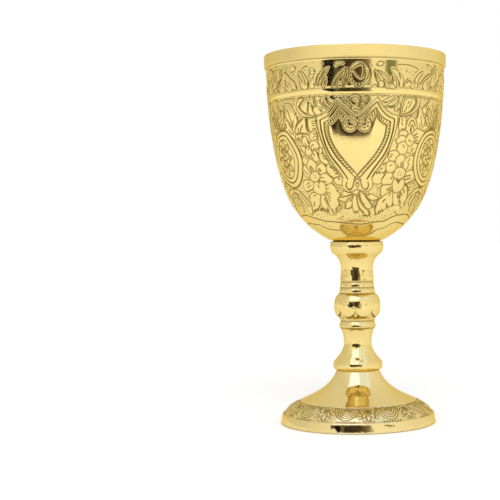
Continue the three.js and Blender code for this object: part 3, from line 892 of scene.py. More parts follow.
shoulderRightPlate = {  # leaves on the heart's right shoulder, a lobe, a pointed arch and the upper flower
    "corner": (375, 88), "finer": 21.78, "grow": 1, "dark": 0.75,
    "bodies": [
        [205, 265, 250, 240, 310, 220, 380, 180, 420, 175, 400, 215, 330, 250, 260, 290, 220, 290],
        [245, 375, 300, 350, 370, 310, 430, 265, 500, 215, 530, 215, 490, 270, 450, 320, 400, 350, 330, 380,
         270, 400],
        [450, 430, 490, 390, 530, 330, 545, 380, 520, 440, 480, 480, 450, 470],
        [550, 650, 600, 640, 660, 640, 670, 720, 660, 810, 640, 900, 580, 920, 540, 900, 530, 800,
         540, 720],
        [690, 940, 700, 820, 730, 720, 790, 640, 830, 630, 880, 690, 898, 800, 890, 900, 840, 980,
         760, 1000],
        [540, 1000, 570, 950, 640, 930, 690, 960, 690, 1010, 640, 1050, 580, 1050],
        [480, 1130, 520, 1090, 570, 1050, 640, 1060, 670, 1100, 660, 1170, 600, 1180, 540, 1200, 490, 1180],
        [500, 1290, 530, 1230, 590, 1190, 650, 1180, 700, 1240, 730, 1290, 700, 1350, 660, 1400, 600, 1430,
         530, 1400, 500, 1340],
        [740, 1290, 800, 1230, 870, 1200, 920, 1220, 910, 1290, 890, 1370, 860, 1400, 790, 1400, 730, 1390,
         710, 1370, 740, 1330],
        [830, 1000, 880, 940, 930, 900, 1000, 930, 1060, 970, 1030, 1050, 990, 1120, 950, 1180, 880, 1170,
         840, 1120, 830, 1060],
        [700, 1100, 730, 1040, 780, 1010, 820, 1050, 840, 1110, 820, 1180, 780, 1240, 720, 1220, 690, 1160],
    ],
    "strokes": {
        0.55: [[770, 1350, 820, 1380], [790, 1310, 850, 1330], [610, 1230, 640, 1290], [730, 1130,
               790, 1170]],
        0.6: [[595, 660, 590, 720], [580, 760, 605, 800], [570, 890, 600, 905, 625, 880], [735, 830,
              760, 760, 815, 700, 850, 740, 880, 830], [765, 930, 780, 860, 812, 800, 840, 860, 850, 920]],
        0.65: [[870, 1150, 930, 1135], [850, 1185, 940, 1210]],
        0.7: [[500, 295, 530, 250], [490, 475, 535, 435], [850, 1040, 920, 985], [860, 1090, 935, 1060]],
        0.75: [[790, 880, 785, 960]],
        0.9: [[220, 305, 265, 300]],
        1: [[300, 395, 360, 405, 420, 375]],
    },
    "dots": [150, 180, 190, 190, 240, 160, 210, 165, 330, 385, 380, 390, 350, 420, 400, 425, 430, 400,
             470, 160, 500, 180, 520, 450, 700, 640, 720, 680, 690, 700, 910, 520, 940, 510, 920, 560,
             870, 560, 1090, 660, 1110, 690, 1090, 720, 1100, 590],
}
flowersRightPlate = {  # lobes on the heart's right side, the lower flower and the leaves that hang from it
    "corner": (370, 150), "finer": 20.36, "grow": 1, "dark": 0.75,
    "bodies": [
        [400, 170, 385, 120, 400, 60, 450, 30, 520, 20, 570, 60, 575, 120, 545, 175, 490, 205, 430, 200],
        [345, 330, 345, 280, 380, 250, 430, 240, 490, 260, 520, 320, 510, 380, 480, 410, 430, 470, 390, 460,
         350, 400],
        [45, 560, 60, 520, 110, 480, 150, 460, 180, 490, 220, 470, 270, 490, 285, 550, 270, 620, 220, 660,
         140, 670, 80, 660, 50, 620],
        [255, 640, 250, 600, 290, 540, 340, 480, 400, 470, 460, 500, 490, 560, 470, 630, 430, 680, 350, 695,
         280, 690],
        [760, 720, 800, 690, 870, 660, 940, 620, 955, 660, 965, 700, 900, 750, 830, 800, 790, 810,
         770, 770],
        [250, 740, 310, 720, 380, 715, 430, 700, 450, 720, 430, 790, 380, 840, 320, 880, 280, 940, 240, 920,
         235, 840],
        [300, 930, 360, 890, 430, 860, 465, 880, 460, 960, 465, 1040, 450, 1100, 400, 1140, 350, 1130,
         330, 1160, 300, 1200, 220, 1250, 160, 1280, 130, 1300, 120, 1220, 150, 1120, 180, 1040, 230, 980],
        [480, 880, 530, 870, 570, 880, 590, 940, 580, 1000, 600, 1060, 580, 1120, 540, 1140, 500, 1110,
         475, 1040, 480, 960],
        [530, 1150, 590, 1140, 600, 1200, 570, 1260, 540, 1280, 520, 1220],
        [640, 790, 690, 760, 730, 740, 755, 790, 750, 860, 745, 930, 720, 1000, 690, 1060, 690, 1130,
         650, 1160, 620, 1120, 630, 1040, 620, 980, 640, 920, 620, 870, 605, 850],
        [540, 240, 550, 170, 600, 120, 650, 105, 690, 140, 710, 200, 695, 270, 670, 340, 620, 355, 570, 340,
         540, 300],
        [720, 220, 760, 170, 820, 130, 870, 130, 885, 190, 870, 270, 845, 350, 800, 410, 740, 440, 715, 420,
         700, 340, 705, 270],
        [715, 480, 770, 450, 840, 420, 890, 450, 905, 520, 905, 580, 850, 600, 790, 640, 730, 670, 690, 640,
         680, 580, 690, 520],
        [470, 700, 480, 640, 510, 590, 560, 580, 620, 590, 670, 600, 690, 660, 670, 730, 640, 790, 590, 830,
         530, 850, 490, 830, 475, 770],
        [490, 490, 520, 420, 560, 380, 620, 370, 680, 390, 705, 450, 690, 510, 650, 560, 600, 590, 540, 570,
         500, 530],
    ],
    "strokes": {
        0.38: [[556, 560, 560, 596], [636, 556, 630, 596]],
        0.5: [[420, 90, 460, 80], [395, 135, 440, 128], [400, 310, 450, 300], [130, 475, 150, 430],
              [170, 450, 200, 420], [215, 385, 250, 360], [270, 300, 300, 260]],
        0.55: [[620, 260, 635, 340], [560, 290, 580, 340], [810, 170, 760, 250], [800, 705, 840, 685],
               [860, 690, 920, 655], [790, 765, 840, 742], [870, 735, 930, 695], [670, 840, 695, 875],
               [680, 790, 705, 830]],
        0.6: [[420, 580, 465, 540], [660, 230, 655, 300, 650, 345], [790, 270, 760, 360, 725, 415],
              [615, 590, 600, 640], [345, 800, 400, 762, 430, 748], [360, 825, 420, 795], [390, 925,
              410, 880], [330, 1080, 345, 1130], [585, 1030, 590, 1075], [625, 860, 655, 930], [1030, 880,
              960, 900, 900, 990], [100, 1130, 105, 1250, 120, 1310], [160, 1285, 210, 1278], [265, 1222,
              290, 1205]],
        0.65: [[690, 545, 750, 527, 820, 515], [690, 597, 760, 587, 820, 570], [540, 595, 565, 650],
               [580, 590, 575, 680]],
        0.7: [[1010, 790, 930, 830, 850, 950, 800, 1060, 790, 1140]],
        0.8: [[280, 460, 310, 440, 330, 405], [260, 1050, 285, 1015, 310, 1000], [560, 910, 570, 980]],
        0.85: [[720, 690, 760, 740, 780, 800, 765, 900, 755, 1000, 750, 1080]],
        0.9: [[598, 930, 612, 965]],
    },
    "dots": [600, 436, 636, 462, 622, 505, 578, 505, 564, 462, 150, 770, 200, 760, 160, 810, 210, 840,
             150, 890, 190, 920, 215, 870, 40, 1020, 70, 1060, 110, 1030, 90, 1090, 60, 1120, 130, 1080,
             150, 1000, 380, 1190, 410, 1165, 350, 1210, 420, 1230, 460, 1210, 400, 1270, 450, 1290,
             360, 1290, 500, 1260, 730, 100, 760, 80, 740, 130, 1010, 900, 920, 980, 960, 960, 890, 1060,
             930, 1040, 800, 1110, 890, 1140],
}
underHeartPlate = {  # leaves and scrolls under the heart
    "corner": (318, 183), "finer": 1.867, "grow": 0.5, "dark": 0.75,
    "bodies": [
        [92, 24, 100, 20, 108, 25, 114, 28, 108, 30, 100, 31],
        [64, 18, 58, 22, 50, 24, 44, 22, 47, 15, 54, 12, 60, 15],
        [66, 20, 60, 27, 54, 33, 47, 33, 40, 30, 37, 28, 43, 25.5, 52, 24],
        [64, 24, 63, 34, 63.5, 42, 60, 45.5, 54, 46.5, 52, 42, 54, 36, 59, 30],
        [66, 24, 71, 22, 72.5, 33, 75, 43, 76, 50, 70, 53, 66, 48, 65, 40, 64.5, 30],
        [74, 20, 77, 28, 80, 36, 86, 45, 92, 49, 95, 56, 92, 60, 88, 58, 82, 52, 76, 42, 73.5, 30],
        [78, 15, 84, 19, 92, 28, 98, 37, 100, 43, 96, 47, 90, 46, 84, 38, 80, 30, 77, 22],
    ],
    "strokes": {
        0.5: [[57, 14, 64, 18], [58, 21, 64, 20]],
        0.55: [[59, 26, 53, 31]],
        0.6: [[87, 18, 90, 26, 96, 34, 101, 42, 103, 45], [78, 18, 79, 27, 82, 35, 87, 40], [38, 29, 44, 33,
              52, 36], [66, 25, 60, 33]],
        0.65: [[73, 25, 73.5, 33, 76, 42, 80, 49, 85, 54]],
        0.7: [[64, 40, 62, 44, 57, 47, 52, 47.5], [52, 38, 51.5, 47]],
        0.75: [[93, 49, 97, 57, 93, 61, 84, 60.5], [34, 47, 33.5, 57], [113, 29, 109, 40, 107.5, 50,
               108, 58]],
        0.8: [[70, 53, 74, 55]],
    },
    "dots": [40, 35, 44, 36, 48, 38, 40, 39, 45, 42, 51, 40, 48, 45, 42, 44, 37, 47, 35, 50, 39, 50, 43, 49,
             51, 47, 34, 53, 37, 53, 41, 54, 34, 4, 36, 8, 41, 3, 45, 4, 40, 10, 43, 12, 47, 15, 41, 19,
             47, 20, 42, 23, 38, 7, 99, 33, 103, 32, 106, 35, 101, 38, 105, 39, 104, 43, 109, 33, 111, 30,
             98, 47, 99, 45, 108, 37, 86, 20, 90, 19, 94, 18, 91, 23, 104, 4, 109, 6, 113, 8, 117, 15,
             115, 22, 116, 10, 66, 53, 75, 51, 46, 62, 42, 66, 104, 60, 78, 62],
}
groundPlate = {  # pits in the ground under the heart
    "corner": (300, 195), "finer": 14.25, "grow": 1, "dark": 0.75,
    "bodies": [],
    "strokes": {},
    "dots": [555, 110, 580, 130, 560, 150, 610, 120, 600, 150, 640, 140, 575, 185, 545, 210, 530, 235,
             560, 225, 640, 180, 520, 200, 600, 185, 1025, 75, 1060, 90, 1095, 65, 1080, 110, 1040, 115,
             1060, 140, 1050, 165, 1025, 150, 770, 235, 800, 250, 790, 225, 820, 245, 780, 260, 900, 310,
             940, 300, 870, 330, 960, 320, 1000, 300, 175, 340, 220, 355, 265, 370, 320, 390, 370, 400,
             415, 430, 460, 435, 230, 255, 270, 265, 310, 255, 350, 270, 250, 285, 300, 290, 340, 295,
             390, 290, 380, 255, 420, 280, 1130, 270, 1170, 280, 1210, 290, 1180, 240, 1240, 250, 1280, 230,
             1230, 300, 1290, 270, 1320, 220, 1260, 210, 590, 310, 620, 300, 560, 330, 610, 335, 700, 380,
             740, 390, 770, 380, 760, 430, 740, 425, 770, 470, 1120, 375, 1150, 380],
}

palmette = {  # small fan over the heart's notch
    "leaves": [((350.4, 103.4), (342.4, 96.4)), ((360, 103), (368.4, 95.6)), ((351.6, 106), (345.4, 103.2)),
               ((359, 105.8), (365.8, 102.4))],
    "leafWidth": 4.2, "leafBend": 0.2, "leafBelly": 0.55,
    "disc": (355, 99.4), "discWide": 5.4, "discTall": 6.4,
    "tongue": [(352.6, 98.4), (356.2, 97), (359, 99.2), (358.4, 102.6), (355.6, 101)],
}


def drawPalmette(sketch):
    for base, tip in palmette["leaves"]:
        sketch.leaf(base, tip, palmette["leafWidth"], palmette["leafBend"], palmette["leafBelly"])
    disc = oval(palmette["disc"], palmette["discWide"], palmette["discTall"], 20)
    sketch.pad(disc, 0.05, rounded=False, edge=0.3)
    sketch.pad(palmette["tongue"], 0.24)


ovalPlan = {  # each half as it was read, on the side where it shows
    "turn": 60.6, "height": 109.4, "halfWidth": 9.5, "halfHeight": 12.2,
    "halves": [
        {"corner": (266, 122), "finer": 20.1, "turn": -59.4,
         "line": [(380, 125), (450, 200), (510, 290), (575, 395), (640, 500), (695, 610), (728, 710),
                  (742, 810), (742, 950), (733, 1080), (708, 1190), (660, 1270), (600, 1325)]},
        {"corner": (406, 118), "finer": 19.12, "turn": 60.6,
         "line": [(245, 1290), (200, 1230), (165, 1140), (145, 1020), (135, 900), (140, 820), (170, 680),
                  (215, 540), (270, 420), (340, 300), (430, 220)]},
    ],
    "grooves": [(0.0, 0.8), (2.1, 0.75), (4.0, 0.7)], "faceInset": 4.2,  # inset and width, in mm
    "fan": [(48, 7.4), (-48, 7.4), (24, 8.8), (-24, 8.8), (0, 9.8)],  # spin and length
    "scrollOver": [(0.2, 0.0), (2.6, -0.6), (4.6, -2.2), (6.2, -4.6), (6.6, -8.0)],
    "scrollUnder": [(5.3, -8.0), (5.0, -5.2), (3.6, -3.2), (1.8, -2.2), (0.2, -1.9)],
    "sprays": [(4.6, 2.4, 0.5, 1, -34, (1.0, 2.2)), (4.4, 2.4, -0.5, 1, -146, (1.0, -2.4)),
               (2.8, 1.8, 0.0, 0, -92, (2.2, 0.0))],  # length, width, bend, veins, spin and shift
}


def ovalFrame(wall):
    halves = []
    for half in ovalPlan["halves"]:
        turn, height, radius = ontoWall(wall, onSheet(half, half["line"]))
        halves.append(np.column_stack([(turn - math.radians(half["turn"])) * radius, height]))
    outline = curveThrough(np.vstack(halves), 5, True)
    for step in range(24):
        outline = (outline * 2 + np.roll(outline, 1, 0) + np.roll(outline, -1, 0)) / 4
    return outline


def drawOval(wall, turn):
    height, wide, tall = ovalPlan["height"], ovalPlan["halfWidth"], ovalPlan["halfHeight"]
    for spin, length in ovalPlan["fan"]:
        drawLeaf(wall, at(turn, height + tall - 1.0, spin), length, 3.0, veins=2)
    for flip in (1, -1):
        base = at(turn, height - tall, flip=flip)
        drawLeaf(wall, base, 5.0, 2.8, 0.3, veins=1, spin=150, shift=(1.6, -3.4))
        scroll = np.vstack([curveThrough(ovalPlan["scrollOver"]), curveThrough(ovalPlan["scrollUnder"])])
        wall.raisePad(scroll, base, rise=0.14)
    drawLeaf(wall, at(turn, height - tall - 1.4, 180), 9.6, 4.2, lobes=3, veins=3)
    outline = ovalFrame(wall)
    middle = (0.0, height)

    def insetBy(inset):
        return (outline - middle) * (1 - inset / wide, 1 - inset / tall) + middle

    wall.raisePad(outline, at(turn), rise=0.14)
    for inset, width in ovalPlan["grooves"]:
        wall.press(closed(insetBy(inset)), at(turn), width, 0.2)
    wall.raisePad(insetBy(ovalPlan["faceInset"]), at(turn), rise=0.0, outlined=False, level=-0.04)
    for flip in (1, -1):
        for length, width, bend, veins, spin, shift in ovalPlan["sprays"]:
            place = at(turn, height, flip=flip)
            drawLeaf(wall, place, length, width, bend, veins=veins, spin=spin, shift=shift)
    drawLeaf(wall, at(turn, height + 2.4), 5.2, 2.4, veins=1)
    drawLeaf(wall, at(turn, height - 2.4, 180), 5.0, 2.4, veins=1)
    drawFlower(wall, at(turn, height), 3.6, 1.1, 6)


borderPlan = {  # degrees from the heart's axis, and heights
    "lower": [(-60, 82.7), (-48, 82.3), (-39, 80.6), (-29, 80.1), (-20, 80), (-12, 78), (7, 77.7), (21, 78.3),
              (26, 80), (37, 80.9), (42, 82.3), (50, 83.1), (60, 82.7)],
    "upper": [(-60, 86.3), (-47, 84.9), (-36, 83.7), (-25, 83.4), (-10, 82.7), (5, 82.3), (19, 83.1),
              (31, 83.5), (37, 84.8), (44, 85.9), (60, 86.3)],
}
hills = [  # over the upper line, with blades of grass that lean to a side
    {"ground": [(312, 216), (313.6, 211.6), (318.4, 209.8), (326, 211.4), (333.4, 215), (330, 218.4),
                (320, 216.8)],
     "ridge": [(312.4, 215), (314.6, 211.2), (318.4, 209.8), (326, 211.6), (333.4, 215)], "lean": 0.7,
     "grass": [(315.4, 210.8), (317.4, 209.8), (320.4, 209.4), (322.6, 209.6), (324.6, 210.4), (326.8, 211),
               (328.4, 212)]},
    {"ground": [(377.2, 216.6), (382.6, 210.8), (387.4, 208), (394.6, 205.4), (396.4, 209), (388, 214.8)],
     "ridge": [(377.6, 214), (382.6, 210.8), (387.4, 208), (392.6, 205.8)], "lean": -0.5,
     "grass": [(378.6, 213.4), (380.4, 212.4), (382.2, 211.2), (386.6, 208.4), (388, 207.6), (392.4, 206.4),
               (393.6, 205.6)]},
]


def drawLowerBorder(wall, sketch):
    turns = np.radians(np.arange(0, 360.1, 2.0))
    offAxis = (np.degrees(turns) + sector / 2) % sector - sector / 2
    lines = {name: np.interp(offAxis, *np.array(plan).T) for name, plan in borderPlan.items()}
    upperHere = np.interp(turnsOf(wall.columns), turns, lines["upper"])[None, :]
    rows = wall.height[:, None]
    below = np.where(rows < upperHere, smooth(upperHere - rows, 0, 0.25), 0) * (rows < 92)
    for field in (wall.face, wall.cut, wall.dark):
        field *= 1 - below
    for heights in lines.values():
        for k in range(len(turns) - 1):
            mid = (turns[k] + turns[k + 1]) / 2
            half = (turns[1] - turns[0]) * np.interp(heights[k], wall.height, wall.radius) * 0.55
            wall.press([(-half, heights[k]), (half, heights[k + 1])], at(math.degrees(mid)), 0.75, 0.2, 0.95)
    for hill in hills:
        sketch.pad(hill["ground"], 0.0, outlined=False, level=-0.05)
        sketch.line(hill["ridge"], 0.5, 0.14, 0.75)
        for x, y in hill["grass"]:
            sketch.line([(x, y), (x + hill["lean"], y - 2.6)], 0.6, 0.16, 0.95)
    drawPlate(sketch, groundPlate)


friezePlate = {  # leaves and curls at both ends of the frieze
    "corner": (0, 0), "finer": 1, "grow": 0, "dark": 0.5,
    "bodies": [
        [285, 70.7, 289.6, 76.4, 293.4, 79.9, 295.7, 84.1, 296.3, 87.5, 292.6, 88.5, 290, 86, 287, 82,
         285, 78.7],
        [285, 70.7, 282.3, 73.4, 280, 79.5, 278.6, 85, 280.6, 89.6, 284, 89, 284.6, 82],
        [284.8, 78.9, 285.4, 82.5, 285.2, 87.4, 288, 90.4, 291.6, 90.4, 292.4, 87.2, 289.6, 83],
        [274.6, 69, 279.6, 69, 279.8, 78, 279, 82.4, 277.3, 84.2, 275.4, 82, 274.6, 77],
        [268.3, 91.5, 269.2, 82, 271.3, 75.6, 273.6, 79.5, 274, 85.5, 271.5, 91.8],
        [273.6, 91.5, 274.2, 87, 276, 84.6, 277.4, 88, 277, 91.4],
        [292, 62.4, 295, 65.6, 294, 69.2, 291.8, 70.2, 289.4, 68.4, 289.6, 65],
        [298.2, 69.2, 301, 69.3, 304.4, 73, 307.6, 78.7, 308.5, 83.3, 307.8, 87, 304.9, 88.8, 302, 87.6,
         300.2, 84.5, 299.2, 80.5, 297.4, 73.6],
        [310, 66.6, 314.2, 66.8, 314.6, 71.4, 311.6, 73, 309.4, 70.6],
        [308.8, 73.8, 312.4, 74, 313, 77.4, 310.4, 78.6],
        [309, 80.4, 313.2, 79.6, 314.8, 84, 312.4, 87.6, 309.4, 86],
        [392.1, 67.3, 396.4, 68.6, 400.4, 72.8, 403.2, 76.4, 404, 81, 403, 86.4, 400, 87, 398.6, 81,
         396, 74.6, 393, 70.6],
        [403.8, 86.6, 405.4, 81.8, 408.2, 78.2, 411.4, 79.8, 412.2, 84, 409.4, 86.6],
        [415, 86.6, 414.4, 81, 416.2, 77.4, 419.4, 73.6, 423.2, 70.8, 423.2, 74.2, 420, 78.4, 418.6, 82,
         418.2, 86.8],
        [432.2, 70.4, 430.5, 76.4, 424.9, 80.7, 422.6, 85.4, 423.8, 89.8, 426.5, 90.8, 428.6, 87,
         431.2, 80.8, 432.8, 74],
        [432.8, 71, 434.4, 78, 434.6, 86, 433, 91.6, 430, 90.6, 430.4, 85, 432, 79],
        [435.4, 71.2, 439.4, 70.6, 439, 80.7, 436.9, 83.6, 435.8, 80.4],
        [436.4, 93, 436.8, 88.5, 438.2, 86, 439.6, 89, 439.4, 93.6],
        [427, 64.2, 430.6, 66.2, 432.6, 70, 429.4, 69],
        [436.2, 65.2, 436.6, 68.4, 433.6, 70.4, 434, 67],
    ],
    "strokes": {
        0.45: [[282.6, 65, 282.5, 69]],
        0.5: [[274.6, 69.6, 274.6, 78, 276.2, 82.8], [279.6, 69.6, 279.6, 77.4, 277.4, 84], [276.2, 86.8,
              278.6, 85, 281.4, 82.4], [399.2, 72.4, 402.8, 75.6, 404, 80.3, 403.2, 85.8], [396, 75,
              398.6, 80.6, 399.4, 86], [409.5, 86.2, 412.7, 88.6, 415.8, 89.4], [414.7, 80.9, 416.2, 77.5,
              419.4, 73.6, 423, 71.2], [426.2, 83.6, 428.6, 80.8], [398.2, 64.2, 403, 64.2, 408, 64.7,
              412.9, 65.9, 416.7, 67.8, 418.7, 69.2], [415.8, 72.8, 416.8, 71.4], [285.6, 64.8,
              285.7, 69.4], [291.8, 73.9, 293, 73.2]],
        0.55: [[289, 81.4, 289.6, 83.6], [272.8, 91.6, 273.6, 87.6, 275.6, 91.4], [289.2, 66.6, 290.6, 64],
               [290.3, 71.2, 292.2, 70.8, 293.9, 69.4], [298.4, 69.5, 302.2, 74.1, 304.5, 78.7,
               305.6, 83.3], [426.9, 86.8, 430.9, 80.7, 432.8, 74], [435.6, 71.6, 436, 80.7, 436.9, 83.2,
               438.8, 80.2, 439.4, 71.4], [430.6, 86.4, 431.8, 90.4], [433.6, 86.4, 436, 91.6]],
        0.6: [[285, 70.7, 282.3, 73.4, 280, 79.5, 277.6, 84.4], [284.6, 78.7, 285, 81.4, 288, 85.6],
              [278.4, 88, 280, 91.2, 283, 91], [268.4, 89.6, 269.3, 81.8, 271.4, 76], [299.1, 80.3,
              300.3, 84.9, 302.2, 87.8, 304.9, 88.6, 307.2, 87.6], [301.6, 67.6, 304.3, 65.4, 307, 65.2],
              [403.8, 86.4, 405.6, 81.9, 408.3, 78.3], [414.4, 80.6, 416, 83.6], [427.3, 64.5, 430.9, 66.9,
              432.8, 70, 436, 65.7], [406.6, 70.4, 407, 71.8]],
        0.65: [[285, 87.1, 288, 90.4, 291.5, 90.4, 292.6, 87.5], [293.8, 64.4, 295.2, 67.4], [399.4, 73.8,
               400.6, 78.4], [394.4, 68.2, 396.6, 68.8, 398.4, 70.2]],
        0.7: [[297.6, 73.4, 300.3, 76.4, 302.6, 81], [300.7, 69.5, 304.1, 73, 307.5, 78.7, 308.5, 83.3,
              307.6, 87.2], [407.1, 82.9, 409.1, 80.5, 411.1, 82.9]],
        0.75: [[285, 70.7, 289.6, 76.4, 293.4, 79.9, 295.7, 84.1, 296.3, 87.4], [417.8, 87, 418.2, 81.9,
               419.8, 78.3, 423, 74], [432, 70.8, 430.5, 76.4, 424.9, 80.7, 422.6, 85.4, 423.8, 89.8,
               426.5, 90.6]],
    },
    "dots": [312.9, 67.6, 309.5, 72.2, 313.7, 73.4, 311.4, 77.2, 314.8, 82.6, 308.3, 83.3, 311.2, 70,
             423.4, 67.4, 426, 67.6, 428.6, 70.6, 417, 71.6, 409.6, 73, 425.2, 76.2, 304.4, 68.8, 288, 73,
             401.2, 69, 407.4, 68.8, 411.4, 71.8, 418.4, 70.4, 413.2, 75.4],
}
friezeScrolls = [  # leaves: base, tip, width, bend, belly and spine; pads: rise and points
    ("leaf", (317.4, 85), (329, 66), 6.6, 0.7, 0.42, 0.8),
    ("line", (318.6, 82), (320.6, 76), (325, 70.6)),
    ("leaf", (322.6, 87.4), (326, 76.4), 4.2, 0.3, 0.5, 0),
    ("leaf", (331, 87.4), (345.4, 66.6), 8.4, -0.3, 0.45, 0.8),
    ("line", (333.4, 84.4), (338, 76.4), (343.6, 70.2)),
    ("leaf", (343, 87.4), (347.4, 67), 4.6, -0.2, 0.5, 0.8),
    ("pad", 0.22, (334.4, 62.6), (338, 61.2), (343.6, 61.4), (342.8, 63.2), (338.4, 63.4), (335.6, 65.2)),
    ("pad", 0.14, (338, 82), (341.6, 81.6), (342.6, 85.2), (339.2, 87), (336.6, 85)),
    ("dot", (338.9, 84.4)),
    ("leaf", (386, 86.8), (374.8, 68.6), 7.4, 0.4, 0.45, 0.8),
    ("leaf", (392.4, 84), (377.4, 69.6), 5, -0.25, 0.5, 0.8),
    ("leaf", (389.6, 87.6), (384, 79), 4.4, 0.2, 0.5, 0),
    ("leaf", (396.8, 87.4), (392.8, 75), 4, 0.1, 0.5, 0),
    ("leaf", (377, 64.6), (384.6, 62.2), 4.6, 0.3, 0.5, 0),
    ("ball", (381.2, 83.6), 3.4),
    ("line", (371.6, 86.2), (374.4, 83.8), (377.9, 86.2)),
]
friezeEye = {
    "outline": [(358.6, 61.4), (366, 64.6), (370.4, 71.6), (369, 79.8), (362.6, 86), (355.8, 86),
                (350.2, 79.6), (348.8, 71.6), (351.8, 64.8)],
    "beadRing": {"centre": (359.5, 74), "wide": 8.2, "tall": 9.4, "count": 16},
    "lid": [(353.3, 68.5), (355.2, 65.5), (357.9, 63.6), (361.4, 62.8), (363.7, 64.3), (364.4, 67.4),
            (364.4, 72.4), (363.3, 76.2), (360.6, 77.7), (357.9, 76.2), (355.2, 73.1)],
    "hollow": [(358, 64.6), (362.3, 64.1), (363.7, 69.1), (362.4, 75.8), (360.4, 77), (357.1, 73.4),
               (353.8, 69.1), (354.2, 67.2)],
    "beside": [((345.4, 67.6), (345, 72), (342.8, 78.4)), ((347.4, 77.6), (345.6, 80.8), (343.4, 84.2))],
    "shade": [(369.6, 69), (368.8, 74), (366.9, 78.8)],
}


def drawFrieze(sketch):
    drawPlate(sketch, friezePlate)
    for kind, *given in friezeScrolls:
        if kind == "leaf":
            sketch.leaf(*given)
        elif kind == "line":
            sketch.line(given, 0.5, 0.14)
        elif kind == "pad":
            sketch.pad(given[1:], given[0])
        elif kind == "ball":
            sketch.pad(oval(given[0], given[1], given[1], 16), 0.2, rounded=False)
        else:
            sketch.dots(given, 0.5, 0.22)
    ring = friezeEye["beadRing"]
    sketch.pad(friezeEye["outline"], 0.12)
    sketch.dots(oval(ring["centre"], ring["wide"], ring["tall"], ring["count"] + 1), 0.36, 0.18)
    sketch.pad(friezeEye["lid"], 0.2)
    sketch.pad(friezeEye["hollow"], 0.0, level=-0.12)
    for line in friezeEye["beside"]:
        sketch.line(line, 0.75, 0.2, 0.95)
    sketch.line(friezeEye["shade"], 0.65, 0.18, 0.9)


bowlShape = {
    "seatRadius": 11.2, "floor": 1.8, "wall": 1.4, "bellyHeight": 28.7, "bellyRadius": 32.0,
    "ringBase": 57.3, "ringRadius": 36.5, "ringHeight": 2.4, "ringStep": 0.22, "ringTopRadius": 36.683,
    "lipBase": 71.25, "lipWallRadius": 37.39, "lipRadius": 38.0, "lipStep": 0.62, "lipRound": 0.25,
    "mouthRadius": 36.1, "lowerHandle": (0.65, 0.245, 0.15, 0.4), "upperHandle": (0.54, 0.33, 0.11, 0.28),
    "columns": 1320, "rowStep": 0.18, "insideStep": 1.6,
    "stippled": [(100, 132.9, 0.3), (91, 100, 0.8), (83, 91, 0.3), (136, 146.7, 0.03)],  # low, high, share
    "dashes": 170, "dashShare": 0.85, "dashHeight": 132.5,  # the row under the ring
}


def drawBowl(wall, random):
    for low, high, share in bowlShape["stippled"]:
        wall.stipple(low, high, chasing["dotSpacing"], random, share)
    sketch = Sketch(wall)
    drawPlate(sketch, underHeartPlate)
    drawPalmette(sketch)
    for plate in (upperLeftPlate, shoulderLeftPlate, flowersLeftPlate, smallFlowerPlate, upperRightPlate,
                  shoulderRightPlate, flowersRightPlate):
        drawPlate(sketch, plate)
    for repeat in range(sheet["repeats"]):
        drawOval(wall, ovalPlan["turn"] + sector * repeat)
    drawHeart(sketch)
    drawFrieze(sketch)
    fillGround(wall, random)
    drawLowerBorder(wall, sketch)


def drawDashes(wall, random):
    shape = bowlShape
    for k in range(shape["dashes"]):
        if random.random() < shape["dashShare"]:
            lean = random.uniform(-0.25, 0.25, 2)
            dash = [(-0.5, shape["dashHeight"] + lean[0]), (0.5, shape["dashHeight"] + 0.1 + lean[1])]
            wall.press(dash, at(360 / shape["dashes"] * k), 0.6, 0.14, 0.8)


